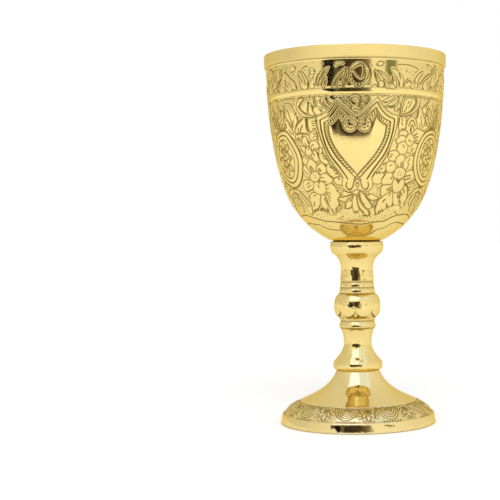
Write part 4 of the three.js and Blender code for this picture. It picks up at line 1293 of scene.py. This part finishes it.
def makeBowl():
    shape = bowlShape
    seat = seatHeights["bowlSeat"]
    top = seatHeights["lipTop"] - seat
    body = [(shape["seatRadius"], 0.0)]
    sweepTo(body, shape["bellyRadius"], shape["bellyHeight"], shape["lowerHandle"], 90)
    sweepTo(body, shape["ringRadius"], shape["ringBase"], shape["upperHandle"], 90)
    ringTop = shape["ringBase"] + shape["ringHeight"]
    ringPeak = (shape["ringRadius"] + shape["ringTopRadius"]) / 2 + shape["ringStep"]
    ring = [(shape["ringRadius"] + 0.03, shape["ringBase"] + 0.02)]
    beadTo(ring, ringPeak, shape["ringTopRadius"] + 0.2, ringTop - 0.02, 14)
    frieze = [(shape["ringTopRadius"], ringTop), (shape["lipWallRadius"], shape["lipBase"])]
    outside = [evenSteps(body, shape["rowStep"]), np.array(ring), evenSteps(frieze, shape["rowStep"])]
    lipRadius, lipRound, mouthRadius = shape["lipRadius"], shape["lipRound"], shape["mouthRadius"]
    lip = [(shape["lipWallRadius"], shape["lipBase"] + 0.04)]
    lip.append((lipRadius, shape["lipBase"] + shape["lipStep"]))
    for sink in (2.2, 1.6, 1.0):
        lip.append((lipRadius, top - sink * lipRound))
    roundTo(lip, (lipRadius, top), lipRadius - lipRound, top, 5)
    for share in (0.12, 0.5, 0.88):
        lip.append((lipRadius + (mouthRadius - lipRadius) * (0.16 + 0.68 * share), top))
    lip.append((mouthRadius + lipRound, top))
    roundTo(lip, (mouthRadius, top), mouthRadius, top - lipRound, 5)
    inside = wallInside(body, shape["wall"])
    inside = inside[inside[:, 1] > shape["floor"] + 1.5][::-1]
    inside = [(mouthRadius, top - 2), *inside.tolist()]
    roundTo(inside, (inside[-1][0] - 4.2, shape["floor"]), 5.0, shape["floor"], 8)
    inside = evenSteps(inside, shape["insideStep"])
    wallLine = np.vstack(outside)
    wall = ChasedWall(wallLine + (0, seat), shape["columns"])
    random = np.random.default_rng(seed)
    drawBowl(wall, random)
    firstRing = len(outside[0])
    lastRing = firstRing + len(ring) - 1
    plain = (wall.height > seat + shape["ringBase"] - 0.1) & (wall.height < seat + ringTop + 0.15)
    for field in (wall.face, wall.cut, wall.dark):  # no ornament on the ring
        field[plain] = 0
    # painted shade along both edges of the ring, where it meets the wall
    for row in (firstRing - 1, firstRing, lastRing, lastRing + 1):
        wall.dark[row] = np.maximum(wall.dark[row], 0.75)
    # painted shade, a thin line under the lip, with tarnish in the joint
    wall.dark[-2:] = np.maximum(wall.dark[-2:], 0.5)
    drawDashes(wall, random)
    print("bowl drawn")
    seatLine = [(0, 0), (shape["seatRadius"] * 0.5, 0), (shape["seatRadius"] - 0.3, 0)]
    underside = ringsOf(seatLine, shape["columns"])
    rest = ringsOf(np.vstack([lip, inside, [(2.5, shape["floor"]), (0, shape["floor"])]]), shape["columns"])
    rings = np.concatenate([underside, wall.chasedRings(wallLine), rest])
    rings[:, :, 2] += seat
    first, firstLip = len(underside), len(underside) + len(wallLine)
    mask = np.zeros(rings.shape[:2])
    mask[first:firstLip] = wall.dark
    # painted shade along the foot of the lip
    mask[firstLip] = 0.5
    sharpRows = [firstLip, firstLip + 1, first + firstRing, first + lastRing]
    dress("bowl_chased", "bowl", "chasedBrass", rings, mask, sharpRows=sharpRows)


stemShape = {
    "seatRadius": 8.8, "heelChamfer": 1.9, "heelRadius": 10.35, "heelHeight": 1.4, "coveHeight": 8.5,
    "waistRadius": 5.8, "riseHeight": 5.8, "beadRadius": 7.65, "beadHeight": 3.0, "neckRadius": 7.4,
    "knopRadius": 9.75, "knopHeight": 11.4, "bellyHeight": 6.2, "ringRadius": 7.5, "ringHeight": 2.4,
    "rings": 2, "shankFoot": 7.1, "shankRadius": 6.85, "shankHeight": 5.25, "upperCove": 6.75,
    "collarRadius": 11.15, "collarHeight": 5.3, "collarSeat": 10.8, "seam": 0.6, "groove": 0.35,
    "boreRadius": 3.3, "spigotRadius": 4.4, "spigotLength": 1.6, "pocketRadius": 7.3, "pocketDepth": 1.9,
    "petals": 8, "petalStep": 0.7, "tipHeight": 1.8, "tipRise": 3.2, "firstPetal": -5.1, "edgeBlend": 0.45,
    "crease": 0.5, "creaseShare": 0.3, "creaseTop": 5.4, "columns": 320, "rowStep": 0.25,
}
stemHandles = {
    "cove": (0.46, 0.33, 0, 0.5), "rise": (0, 0.37, 0.67, 0.3), "knopLower": (0.67, 0.2, 0, 0.45),
    "knopUpper": (0, 0.5, 0.67, 0.15), "upperCove": (0, 0.59, 0.62, 0.27),
}


def petalSink(turn, height, base):  # how far the lotus petals sink, and how dark their edges are
    shape = stemShape
    share = (turn - math.radians(shape["firstPetal"])) / fullTurn * shape["petals"]
    across = 2 * np.abs(share - np.floor(share) - 0.5)
    arch = 1 - np.sqrt(np.maximum(1 - across ** 2, 0))
    tip = base + shape["tipHeight"] + shape["tipRise"] * arch
    below = smooth(tip - height, 0, shape["edgeBlend"])
    nearCrease = smooth(across, 1 - shape["creaseShare"], 1)
    fade = smooth(base + shape["creaseTop"] - height, 0, 3.0)
    opening = smooth(height - base, 0, 0.9)
    sink = np.maximum(shape["petalStep"] * below, shape["crease"] * nearCrease * fade) * opening
    edge = np.exp(-((tip - 0.2 - height) / 0.36) ** 2) * opening
    sepal = 0.6 * np.exp(-((base + 0.5 + 1.5 * arch - height) / 0.3) ** 2) * smooth(across, 0.5, 0.9)
    ridge = smooth(across, 0.95, 1) * smooth(tip - height, 0, 0.8) * 0.35
    return np.maximum(sink - ridge, 0), np.clip(np.maximum(edge, sepal), 0, 1)


def makeStem():
    shape, handles = stemShape, stemHandles
    groove, seam, bead = shape["groove"], shape["seam"], shape["beadRadius"]
    heelTop = shape["heelChamfer"] + shape["heelHeight"]
    waist = heelTop + shape["coveHeight"]
    beadBase = waist + shape["riseHeight"]
    knopBase = beadBase + shape["beadHeight"]
    knopTop = knopBase + shape["knopHeight"]
    outline = [(shape["seatRadius"], 0)]
    roundTo(outline, (shape["heelRadius"] + 0.55, 0.4), shape["heelRadius"] - groove / 2, heelTop, 16)
    sweepTo(outline, shape["waistRadius"], waist, handles["cove"], 30)
    sweepTo(outline, bead - groove, beadBase, handles["rise"], 24)
    roundTo(outline, (bead + 0.2, beadBase + 0.2), bead - 0.05, beadBase + 1.3, 10)
    roundTo(outline, (bead - 0.15, beadBase + 1.9), shape["neckRadius"] - 0.45, knopBase, 10)
    sweepTo(outline, shape["knopRadius"], knopBase + shape["bellyHeight"], handles["knopLower"], 26)
    sweepTo(outline, shape["neckRadius"], knopTop, handles["knopUpper"], 26)
    # heights of the grooves at the bead, the knop and the rings, each given a soft band of painted shade
    shadedGrooves = [beadBase, knopBase, knopTop]
    for ring in range(1, shape["rings"] + 1):
        peak = shape["ringRadius"] - groove * (ring - 1)
        beadTo(outline, peak, peak - groove, knopTop + ring * shape["ringHeight"], 10)
        shadedGrooves.append(knopTop + ring * shape["ringHeight"])
    shankBase = knopTop + shape["rings"] * shape["ringHeight"]
    outline.append((shape["shankFoot"], shankBase + groove))
    outline.append((shape["shankRadius"], shankBase + shape["shankHeight"]))
    collarBase = shankBase + shape["shankHeight"] + shape["upperCove"]
    sweepTo(outline, shape["collarSeat"] - groove, collarBase, handles["upperCove"], 30)
    height = collarBase + shape["collarHeight"]
    beadTo(outline, shape["collarRadius"], shape["collarSeat"], height - seam, 20)
    recess = shape["collarSeat"] - seam * 1.6
    seamLine = [(recess + 0.1, height - seam + 0.05), (recess, height - seam * 0.5), (recess, height)]
    outer = np.vstack([evenSteps(outline, shape["rowStep"]), seamLine])
    pocketFloor, spigotEnd = height - shape["pocketDepth"], -shape["spigotLength"]
    pocket, bore, spigot = shape["pocketRadius"], shape["boreRadius"], shape["spigotRadius"]
    inner = [(pocket, height), (pocket, pocketFloor), (bore, pocketFloor), (bore, spigotEnd),
             (spigot, spigotEnd), (spigot, 0)]
    rings = ringsOf(np.vstack([outer, inner]), shape["columns"])
    mask = np.zeros(rings.shape[:2])
    for row, (radius, level) in enumerate(outer):
        # a soft band of painted shade at each groove
        for line in shadedGrooves:
            mask[row] = np.maximum(mask[row], 0.6 * math.exp(-((level - line) / 0.4) ** 2))
        if knopBase < level < knopTop:
            sink, dark = petalSink(turnsOf(shape["columns"]), level, knopBase)
            rings[row, :, :2] *= (1 - sink / radius)[:, None]
            mask[row] = np.maximum(mask[row], 0.85 * dark)
    # painted shade in the seams: where the stem sits on the foot, and in the recess under the bowl
    mask[:2] = 0.7
    mask[len(outer) - 4:len(outer)] = 0.9
    rings[:, :, 2] += seatHeights["footTop"]
    dress("stem_turned", "stem", "castBrass", rings, mask, loop=True)


footShape = {
    "rimRadius": 32.3, "edgeHeight": 4.8, "edgeTopRadius": 30.8, "edgeBreak": 0.7, "shoulderRadius": 23.2,
    "shoulderHeight": 9.9, "neckRadius": 9.0, "wall": 1.5, "restWidth": 2.4, "padThickness": 2.4,
    "padHole": 4.6, "shoulderHandle": (0.2, 0.39, 0.45, 0.31), "flareHandle": (0.42, 0.23, 0.16, 0.56),
    "bandLow": 4.4, "bandHigh": 9.3, "units": 10, "firstSwag": 26.0, "dashes": 110,
    "columns": 960, "rowStep": 0.2,
    "swag": [(5.0, 7.0), (4.1, 5.8), (3.2, 4.6), (2.3, 3.4)],  # half width and drop of each arc
    "curledLeaf": [(140, 3.8, 0.5), (-140, 3.8, -0.5), (160, 5.6, 0.3), (-160, 5.6, -0.3), (180, 6.8, 0.0)],
    "curls": [(3.3, -5.6, 0.9, 60), (2.9, -1.6, 0.7, 200), (1.6, -7.2, 0.7, 120)],  # place, radius, start
}


def drawFootBand(wall, random):
    shape = footShape
    unit, gap = 360 / shape["units"], 360 / shape["dashes"]
    low, high = shape["bandLow"], shape["bandHigh"]
    wall.stipple(low, high, 0.8, random, 0.12)
    for number in range(shape["units"]):
        turn = shape["firstSwag"] + unit * number
        for wide, deep in shape["swag"]:
            bow = arc((0, 0), 1.0, 180, 360, 20) * (wide, deep)
            wall.raisePad(bow, at(turn, high - 0.1), rise=0.07, width=0.56, dark=0.9, level=-0.07)
        for s in (-1.4, -0.7, 0.0, 0.7, 1.4):  # hatching in the swag, then dashes under it
            wall.press([(s, -0.5), (s * 0.8 + 0.3, -2.2)], at(turn, high - 0.1), 0.5, 0.14, 0.9)
        for s in np.arange(-3.6, 3.7, 1.2):
            wall.press([(s - 0.35, low + 0.1), (s + 0.3, low + 0.5)], at(turn), 0.62, 0.16, 0.95)
        turn += unit / 2
        for spin, length, bend in shape["curledLeaf"]:  # between two swags
            place = at(turn, high - 0.5, spin)
            drawLeaf(wall, place, length, 1.7, bend, 0.62, spine=0.5, rise=0.1, dark=0.85)
        for flip in (1, -1):
            for x, y, size, first in shape["curls"]:
                curl = arc((x, y), size, first, first + 270, 12)
                wall.press(curl, at(turn, high, flip=flip), 0.5, 0.13, 0.85)
            wall.press([(0.6 * flip, high), (1.8 * flip, high - 0.4)], at(turn), 0.6, 0.15, 0.9)
    for k in range(shape["dashes"]):
        lean = random.uniform(-0.15, 0.15, 2)
        if random.random() < 0.75:
            wall.press([(-0.5, high + lean[0]), (0.45, high - 0.1 + lean[1])], at(gap * k), 0.5, 0.12, 0.7)
        wall.press([(-1.0, low), (1.0, low)], at(gap * k), 0.42, 0.08, 0.35)


def makeFoot():
    shape = footShape
    rim, footTop = shape["rimRadius"], seatHeights["footTop"]
    outer = [(rim - 0.02, shape["edgeBreak"] - 0.1)]
    roundTo(outer, (rim - 0.14, 2.3), rim - 0.58, 3.75, 14)
    roundTo(outer, (rim - 0.81, 4.51), shape["edgeTopRadius"], shape["edgeHeight"], 8)
    sweepTo(outer, shape["shoulderRadius"], shape["shoulderHeight"], shape["shoulderHandle"], 40)
    sweepTo(outer, shape["neckRadius"], footTop, shape["flareHandle"], 50)
    restOuter = rim - shape["edgeBreak"]
    restInner = restOuter - shape["restWidth"]
    padUnder = footTop - shape["padThickness"]
    hollow = wallInside(outer, shape["wall"])
    inside = (hollow[:, 0] < restInner) & (hollow[:, 1] > 0.4) & (hollow[:, 1] < padUnder - shape["wall"] / 2)
    hollow = evenSteps(hollow[inside][::-1], 1.2)
    line = evenSteps(outer, shape["rowStep"])
    wall = ChasedWall(line, shape["columns"])
    drawFootBand(wall, np.random.default_rng(seed + 1))
    print("foot drawn")
    edge = [(restInner, 0), (restOuter - 0.25, 0)]
    roundTo(edge, (rim - 0.1, 0.05), rim - 0.02, shape["edgeBreak"] - 0.1, 5)
    below = [(shape["padHole"], footTop), (shape["padHole"], padUnder)]
    below.append((hollow[0][0] - shape["wall"] / 2, padUnder))
    rest = ringsOf(np.vstack([below, hollow]), shape["columns"])
    rings = np.concatenate([ringsOf(edge, shape["columns"]), wall.chasedRings(line), rest])
    mask = np.zeros(rings.shape[:2])
    mask[len(edge):len(edge) + len(line)] = wall.dark
    # the hollow inside of the foot is darker all over
    mask[-len(rest):] = 0.25
    dress("foot_spun", "foot", "spunBrass", rings, mask, loop=True)


clampShape = {
    "studRadius": 3.0, "flangeRadius": 7.0, "flangeThickness": 1.6, "pitch": 1.0, "threadDepth": 0.5,
    "threadLength": 14.0, "washerRadius": 6.0, "washerHole": 3.2, "nutFlats": 10.0, "nutBore": 3.12,
    "nutChamfer": (0.02, 0.15, 0.3, 0.5, 0.75), "columns": 72,
}


def threadWave(turn, height, pitch):
    share = (height / pitch - turn / fullTurn) % 1.0
    return np.clip(1.25 - 2.5 * np.abs(share - 0.5), 0, 1)


def makeStud():
    shape = clampShape
    radius, wide, depth = shape["studRadius"], shape["flangeRadius"], shape["threadDepth"]
    end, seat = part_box("tie_stud")[0].z / mm, seatHeights["bowlSeat"]
    under = seat - shape["flangeThickness"]
    levels = np.arange(end + 0.5, end + shape["threadLength"], shape["pitch"] / 8)
    line = [(0, end), (2.2, end), (2.55, end + 0.3), *[(radius, level) for level in levels], (radius, under),
            (wide - 0.2, under), (wide, under + 0.2), (wide, seat), (0, seat)]
    rings = ringsOf(line, shape["columns"])
    mask = np.zeros(rings.shape[:2])
    for row, level in enumerate(levels, start=3):
        fade = min(1.0, (level - end) / 1.0) * min(1.0, (levels[-1] - level) / 1.5)
        cut = depth * threadWave(turnsOf(shape["columns"]), level, shape["pitch"]) * max(fade, 0)
        rings[row, :, :2] *= (1 - cut / radius)[:, None]
        # darker where the thread cuts deeper
        mask[row] = 0.5 * cut / depth
    dress("tie_stud_threaded", "tie_stud", "zincSteel", rings, mask)


def makeWasher():
    low, high = [corner.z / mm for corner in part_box("washer")]
    hole, radius = clampShape["washerHole"], clampShape["washerRadius"]
    line = [(hole, low + 0.15), (hole + 0.15, low), (radius - 0.25, low)]
    roundTo(line, (radius, low), radius, low + 0.3, 4)
    line.append((radius, high - 0.3))
    roundTo(line, (radius, high), radius - 0.25, high, 4)
    line += [(hole + 0.15, high), (hole, high - 0.15)]
    rings = ringsOf(line, clampShape["columns"])
    dress("washer_flat", "washer", "zincSteel", rings, loop=True)


def makeNut():
    shape = clampShape
    low, high = [corner.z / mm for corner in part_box("nut")]
    bore, flat = shape["nutBore"], shape["nutFlats"] / 2
    turn = turnsOf(shape["columns"])
    circle = np.ones(shape["columns"])
    hexagon = flat / np.cos((turn - math.pi / 6) % (math.pi / 3) - math.pi / 6)
    sides = [np.minimum(hexagon, flat * 0.97 + rise * 1.7) for rise in shape["nutChamfer"]]
    rows = [((bore + 0.4) * circle, low), (flat * 0.96 * circle, low)]
    rows += [(side, low + rise) for side, rise in zip(sides, shape["nutChamfer"])]
    rows += [(side, high - rise) for side, rise in zip(sides[::-1], shape["nutChamfer"][::-1])]
    rows += [(flat * 0.96 * circle, high), ((bore + 0.4) * circle, high)]
    for level in np.arange(high - 0.4, low + 0.35, -shape["pitch"] / 8):
        rows.append((bore - 0.1 + 0.5 * threadWave(turn, level, shape["pitch"]), level))
    radii, levels = np.array([row[0] for row in rows]), np.array([row[1] * circle for row in rows])
    dress("nut_hex", "nut", "zincSteel", ringsAt(radii, levels), loop=True)


makeFoot()
makeStem()
makeBowl()
makeStud()
makeWasher()
makeNut()


# Floor, light and camera

studio = {
    "floorRadius": 4.0, "floorColour": (0.92, 0.92, 0.915, 1), "floorRoughness": 0.7, "floorShine": 0.2,
    "floorGlow": (0.06, 0.06, 0.06, 1), "floorFarGlow": (0.3, 0.3, 0.3, 1), "floorFade": (1.1, -0.25),
    "backdrop": (1.0, 1.0, 1.0, 1), "leftSky": (0.82, 0.82, 0.82, 1), "rightSky": (1.0, 0.995, 0.985, 1),
    "frontSky": (1.9, 1.9, 1.9, 1), "frontBoost": 0.27,
    "keyPlace": (0.05, -0.6, 0.8), "keyAim": (0, -0.2, 0), "keySize": 0.5, "keyPower": 2.6,
}
cards = {  # corners in x and z, the distance, and the cloth's colours from left to right
    "outlines": {"flagLeft": [(-0.27, 0.001), (0.17, 0.001), (0.16, 0.19), (-0.395, 0.19), (-0.39, 0.12)],
                 "flagRight": [(0.34, 0.125), (0.62, 0.125), (0.62, 0.18), (0.36, 0.18)]},
    "near": -0.46,
    "cloth": [(-0.395, (0.006, 0.005, 0.006, 1)), (-0.225, (0.006, 0.005, 0.006, 1)),
              (-0.19, (0.2, 0.19, 0.16, 1)),
              (-0.15, (0.04, 0.03, 0.02, 1)), (0.02, (0.07, 0.05, 0.03, 1)), (0.12, (0.24, 0.21, 0.15, 1)),
              (0.17, (0.6, 0.57, 0.5, 1)), (0.34, (0.42, 0.46, 0.25, 1)), (0.4, (0.1, 0.16, 0.04, 1)),
              (0.54, (0.08, 0.14, 0.03, 1)), (0.62, (0.5, 0.55, 0.35, 1))],
}
windows = {  # corners in x and y, the height and the colours
    "outlines": {"windowLeft": [(-1.1, -1.4), (0.1, -1.4), (0.1, 0.1), (-0.22, 0.1)],
                 "windowRight": [(0.1, -1.4), (2.0, -1.4), (0.36, 0.1), (0.1, 0.1)]},
    "height": 0.9, "colours": {"windowLeft": (1.4, 1.65, 2.7, 1), "windowRight": (1.0, 1.15, 1.6, 1)},
}
onlyInMetal = ("visible_camera", "visible_diffuse", "visible_shadow", "visible_transmission")  # all off


def flatPiece(name, corners, material, hidden=()):
    mesh = bpy.data.meshes.new(name)
    mesh.from_pydata(corners, [], [list(range(len(corners)))])
    mesh.materials.append(material)
    piece = bpy.data.objects.new(name, mesh)
    bpy.context.scene.collection.objects.link(piece)
    for ray in hidden:
        setattr(piece, ray, False)


def glowing(name):  # a material that only glows, with its node tree and the socket for its colour
    material = bpy.data.materials.new(name)
    material.use_nodes = True
    tree = material.node_tree
    glow = tree.nodes.new("ShaderNodeEmission")
    tree.links.new(glow.outputs["Emission"], tree.nodes["Material Output"].inputs["Surface"])
    return material, tree, glow.inputs["Color"]


def makeFloor():
    material = bpy.data.materials.new("paleFloor")
    material.use_nodes = True
    tree = material.node_tree
    shader = tree.nodes["Principled BSDF"].inputs
    shader["Base Color"].default_value = studio["floorColour"]
    shader["Roughness"].default_value = studio["floorRoughness"]
    shader["Specular IOR Level"].default_value = studio["floorShine"]
    shader["Emission Strength"].default_value = 1.0
    away = tree.nodes.new("ShaderNodeVectorMath")
    away.operation = "LENGTH"
    tree.links.new(tree.nodes.new("ShaderNodeTexCoord").outputs["Object"], away.inputs[0])
    share = mathNode(tree, "MULTIPLY_ADD", away.outputs["Value"], *studio["floorFade"], clamp=True)
    glow = mixColour(tree, share, studio["floorGlow"], studio["floorFarGlow"])
    tree.links.new(glow, shader["Emission Color"])
    rim = np.linspace(0, fullTurn, 96, endpoint=False)
    radius = studio["floorRadius"]
    flatPiece("floor", [(radius * math.cos(a), radius * math.sin(a), 0) for a in rim], material)


def makeCards():  # dark cards beside the lens, which only the metal sees
    material, tree, colour = glowing("cardCloth")
    across = tree.nodes.new("ShaderNodeSeparateXYZ")
    tree.links.new(tree.nodes.new("ShaderNodeTexCoord").outputs["Object"], across.inputs[0])
    low, high = cards["cloth"][0][0], cards["cloth"][-1][0]
    share = mathNode(tree, "MULTIPLY_ADD", across.outputs["X"], 1 / (high - low), -low / (high - low))
    ramp = tree.nodes.new("ShaderNodeValToRGB")
    tree.links.new(share, ramp.inputs["Fac"])
    stops = ramp.color_ramp.elements
    while len(stops) < len(cards["cloth"]):
        stops.new(0.5)
    for stop, (place, shade) in zip(stops, cards["cloth"]):
        stop.position = (place - low) / (high - low)
        stop.color = shade
    tree.links.new(ramp.outputs["Color"], colour)
    for name, outline in cards["outlines"].items():
        flatPiece(name, [(x, cards["near"], z) for x, z in outline], material, onlyInMetal)


def makeWindows():  # bright panels overhead, which only the metal sees
    for name, outline in windows["outlines"].items():
        material, _, colour = glowing(name)
        colour.default_value = windows["colours"][name]
        flatPiece(name, [(x, y, windows["height"]) for x, y in outline], material, onlyInMetal)


def makeWorld():
    world = bpy.data.worlds.new("studio")
    bpy.context.scene.world = world
    world.use_nodes = True
    tree = world.node_tree
    way = tree.nodes.new("ShaderNodeSeparateXYZ")
    tree.links.new(tree.nodes.new("ShaderNodeTexCoord").outputs["Generated"], way.inputs[0])
    across = mathNode(tree, "MULTIPLY_ADD", way.outputs["X"], 0.5, 0.5, clamp=True)
    sky = mixColour(tree, across, studio["leftSky"], studio["rightSky"])
    front = mathNode(tree, "MAXIMUM", mathNode(tree, "MULTIPLY", way.outputs["Y"], -1.0), 0.0)
    sky = mixColour(tree, mathNode(tree, "MULTIPLY", front, studio["frontBoost"]), sky, studio["frontSky"])
    seen = tree.nodes.new("ShaderNodeLightPath").outputs["Is Camera Ray"]
    tree.links.new(mixColour(tree, seen, sky, studio["backdrop"]), tree.nodes["Background"].inputs["Color"])


def makeKey():
    data = bpy.data.lights.new("key", "AREA")
    data.size = studio["keySize"]
    data.energy = studio["keyPower"]
    light = bpy.data.objects.new("key", data)
    light.location = studio["keyPlace"]
    aim = Vector(studio["keyAim"]) - Vector(studio["keyPlace"])
    light.rotation_euler = aim.to_track_quat("-Z", "Y").to_euler()
    light.visible_glossy = False
    bpy.context.scene.collection.objects.link(light)


lens = {"place": (0, -0.5, 0.082), "focal": 86.04, "acrossShift": -0.2130, "upShift": -0.0492, "roll": 0.58}


def makeCamera():
    data = bpy.data.cameras.new("camera")
    data.sensor_width = 36.0
    data.lens = lens["focal"]
    data.shift_x, data.shift_y = lens["acrossShift"], lens["upShift"]
    data.clip_start = 0.01
    camera = bpy.data.objects.new("camera", data)
    camera.location = lens["place"]
    camera.rotation_euler = (math.radians(90), math.radians(lens["roll"]), 0)
    bpy.context.scene.collection.objects.link(camera)
    bpy.context.scene.camera = camera


makeFloor()
makeCards()
makeWorld()
makeWindows()
makeKey()
makeCamera()
bpy.context.scene.view_settings.view_transform = "Standard"
print("studio set")
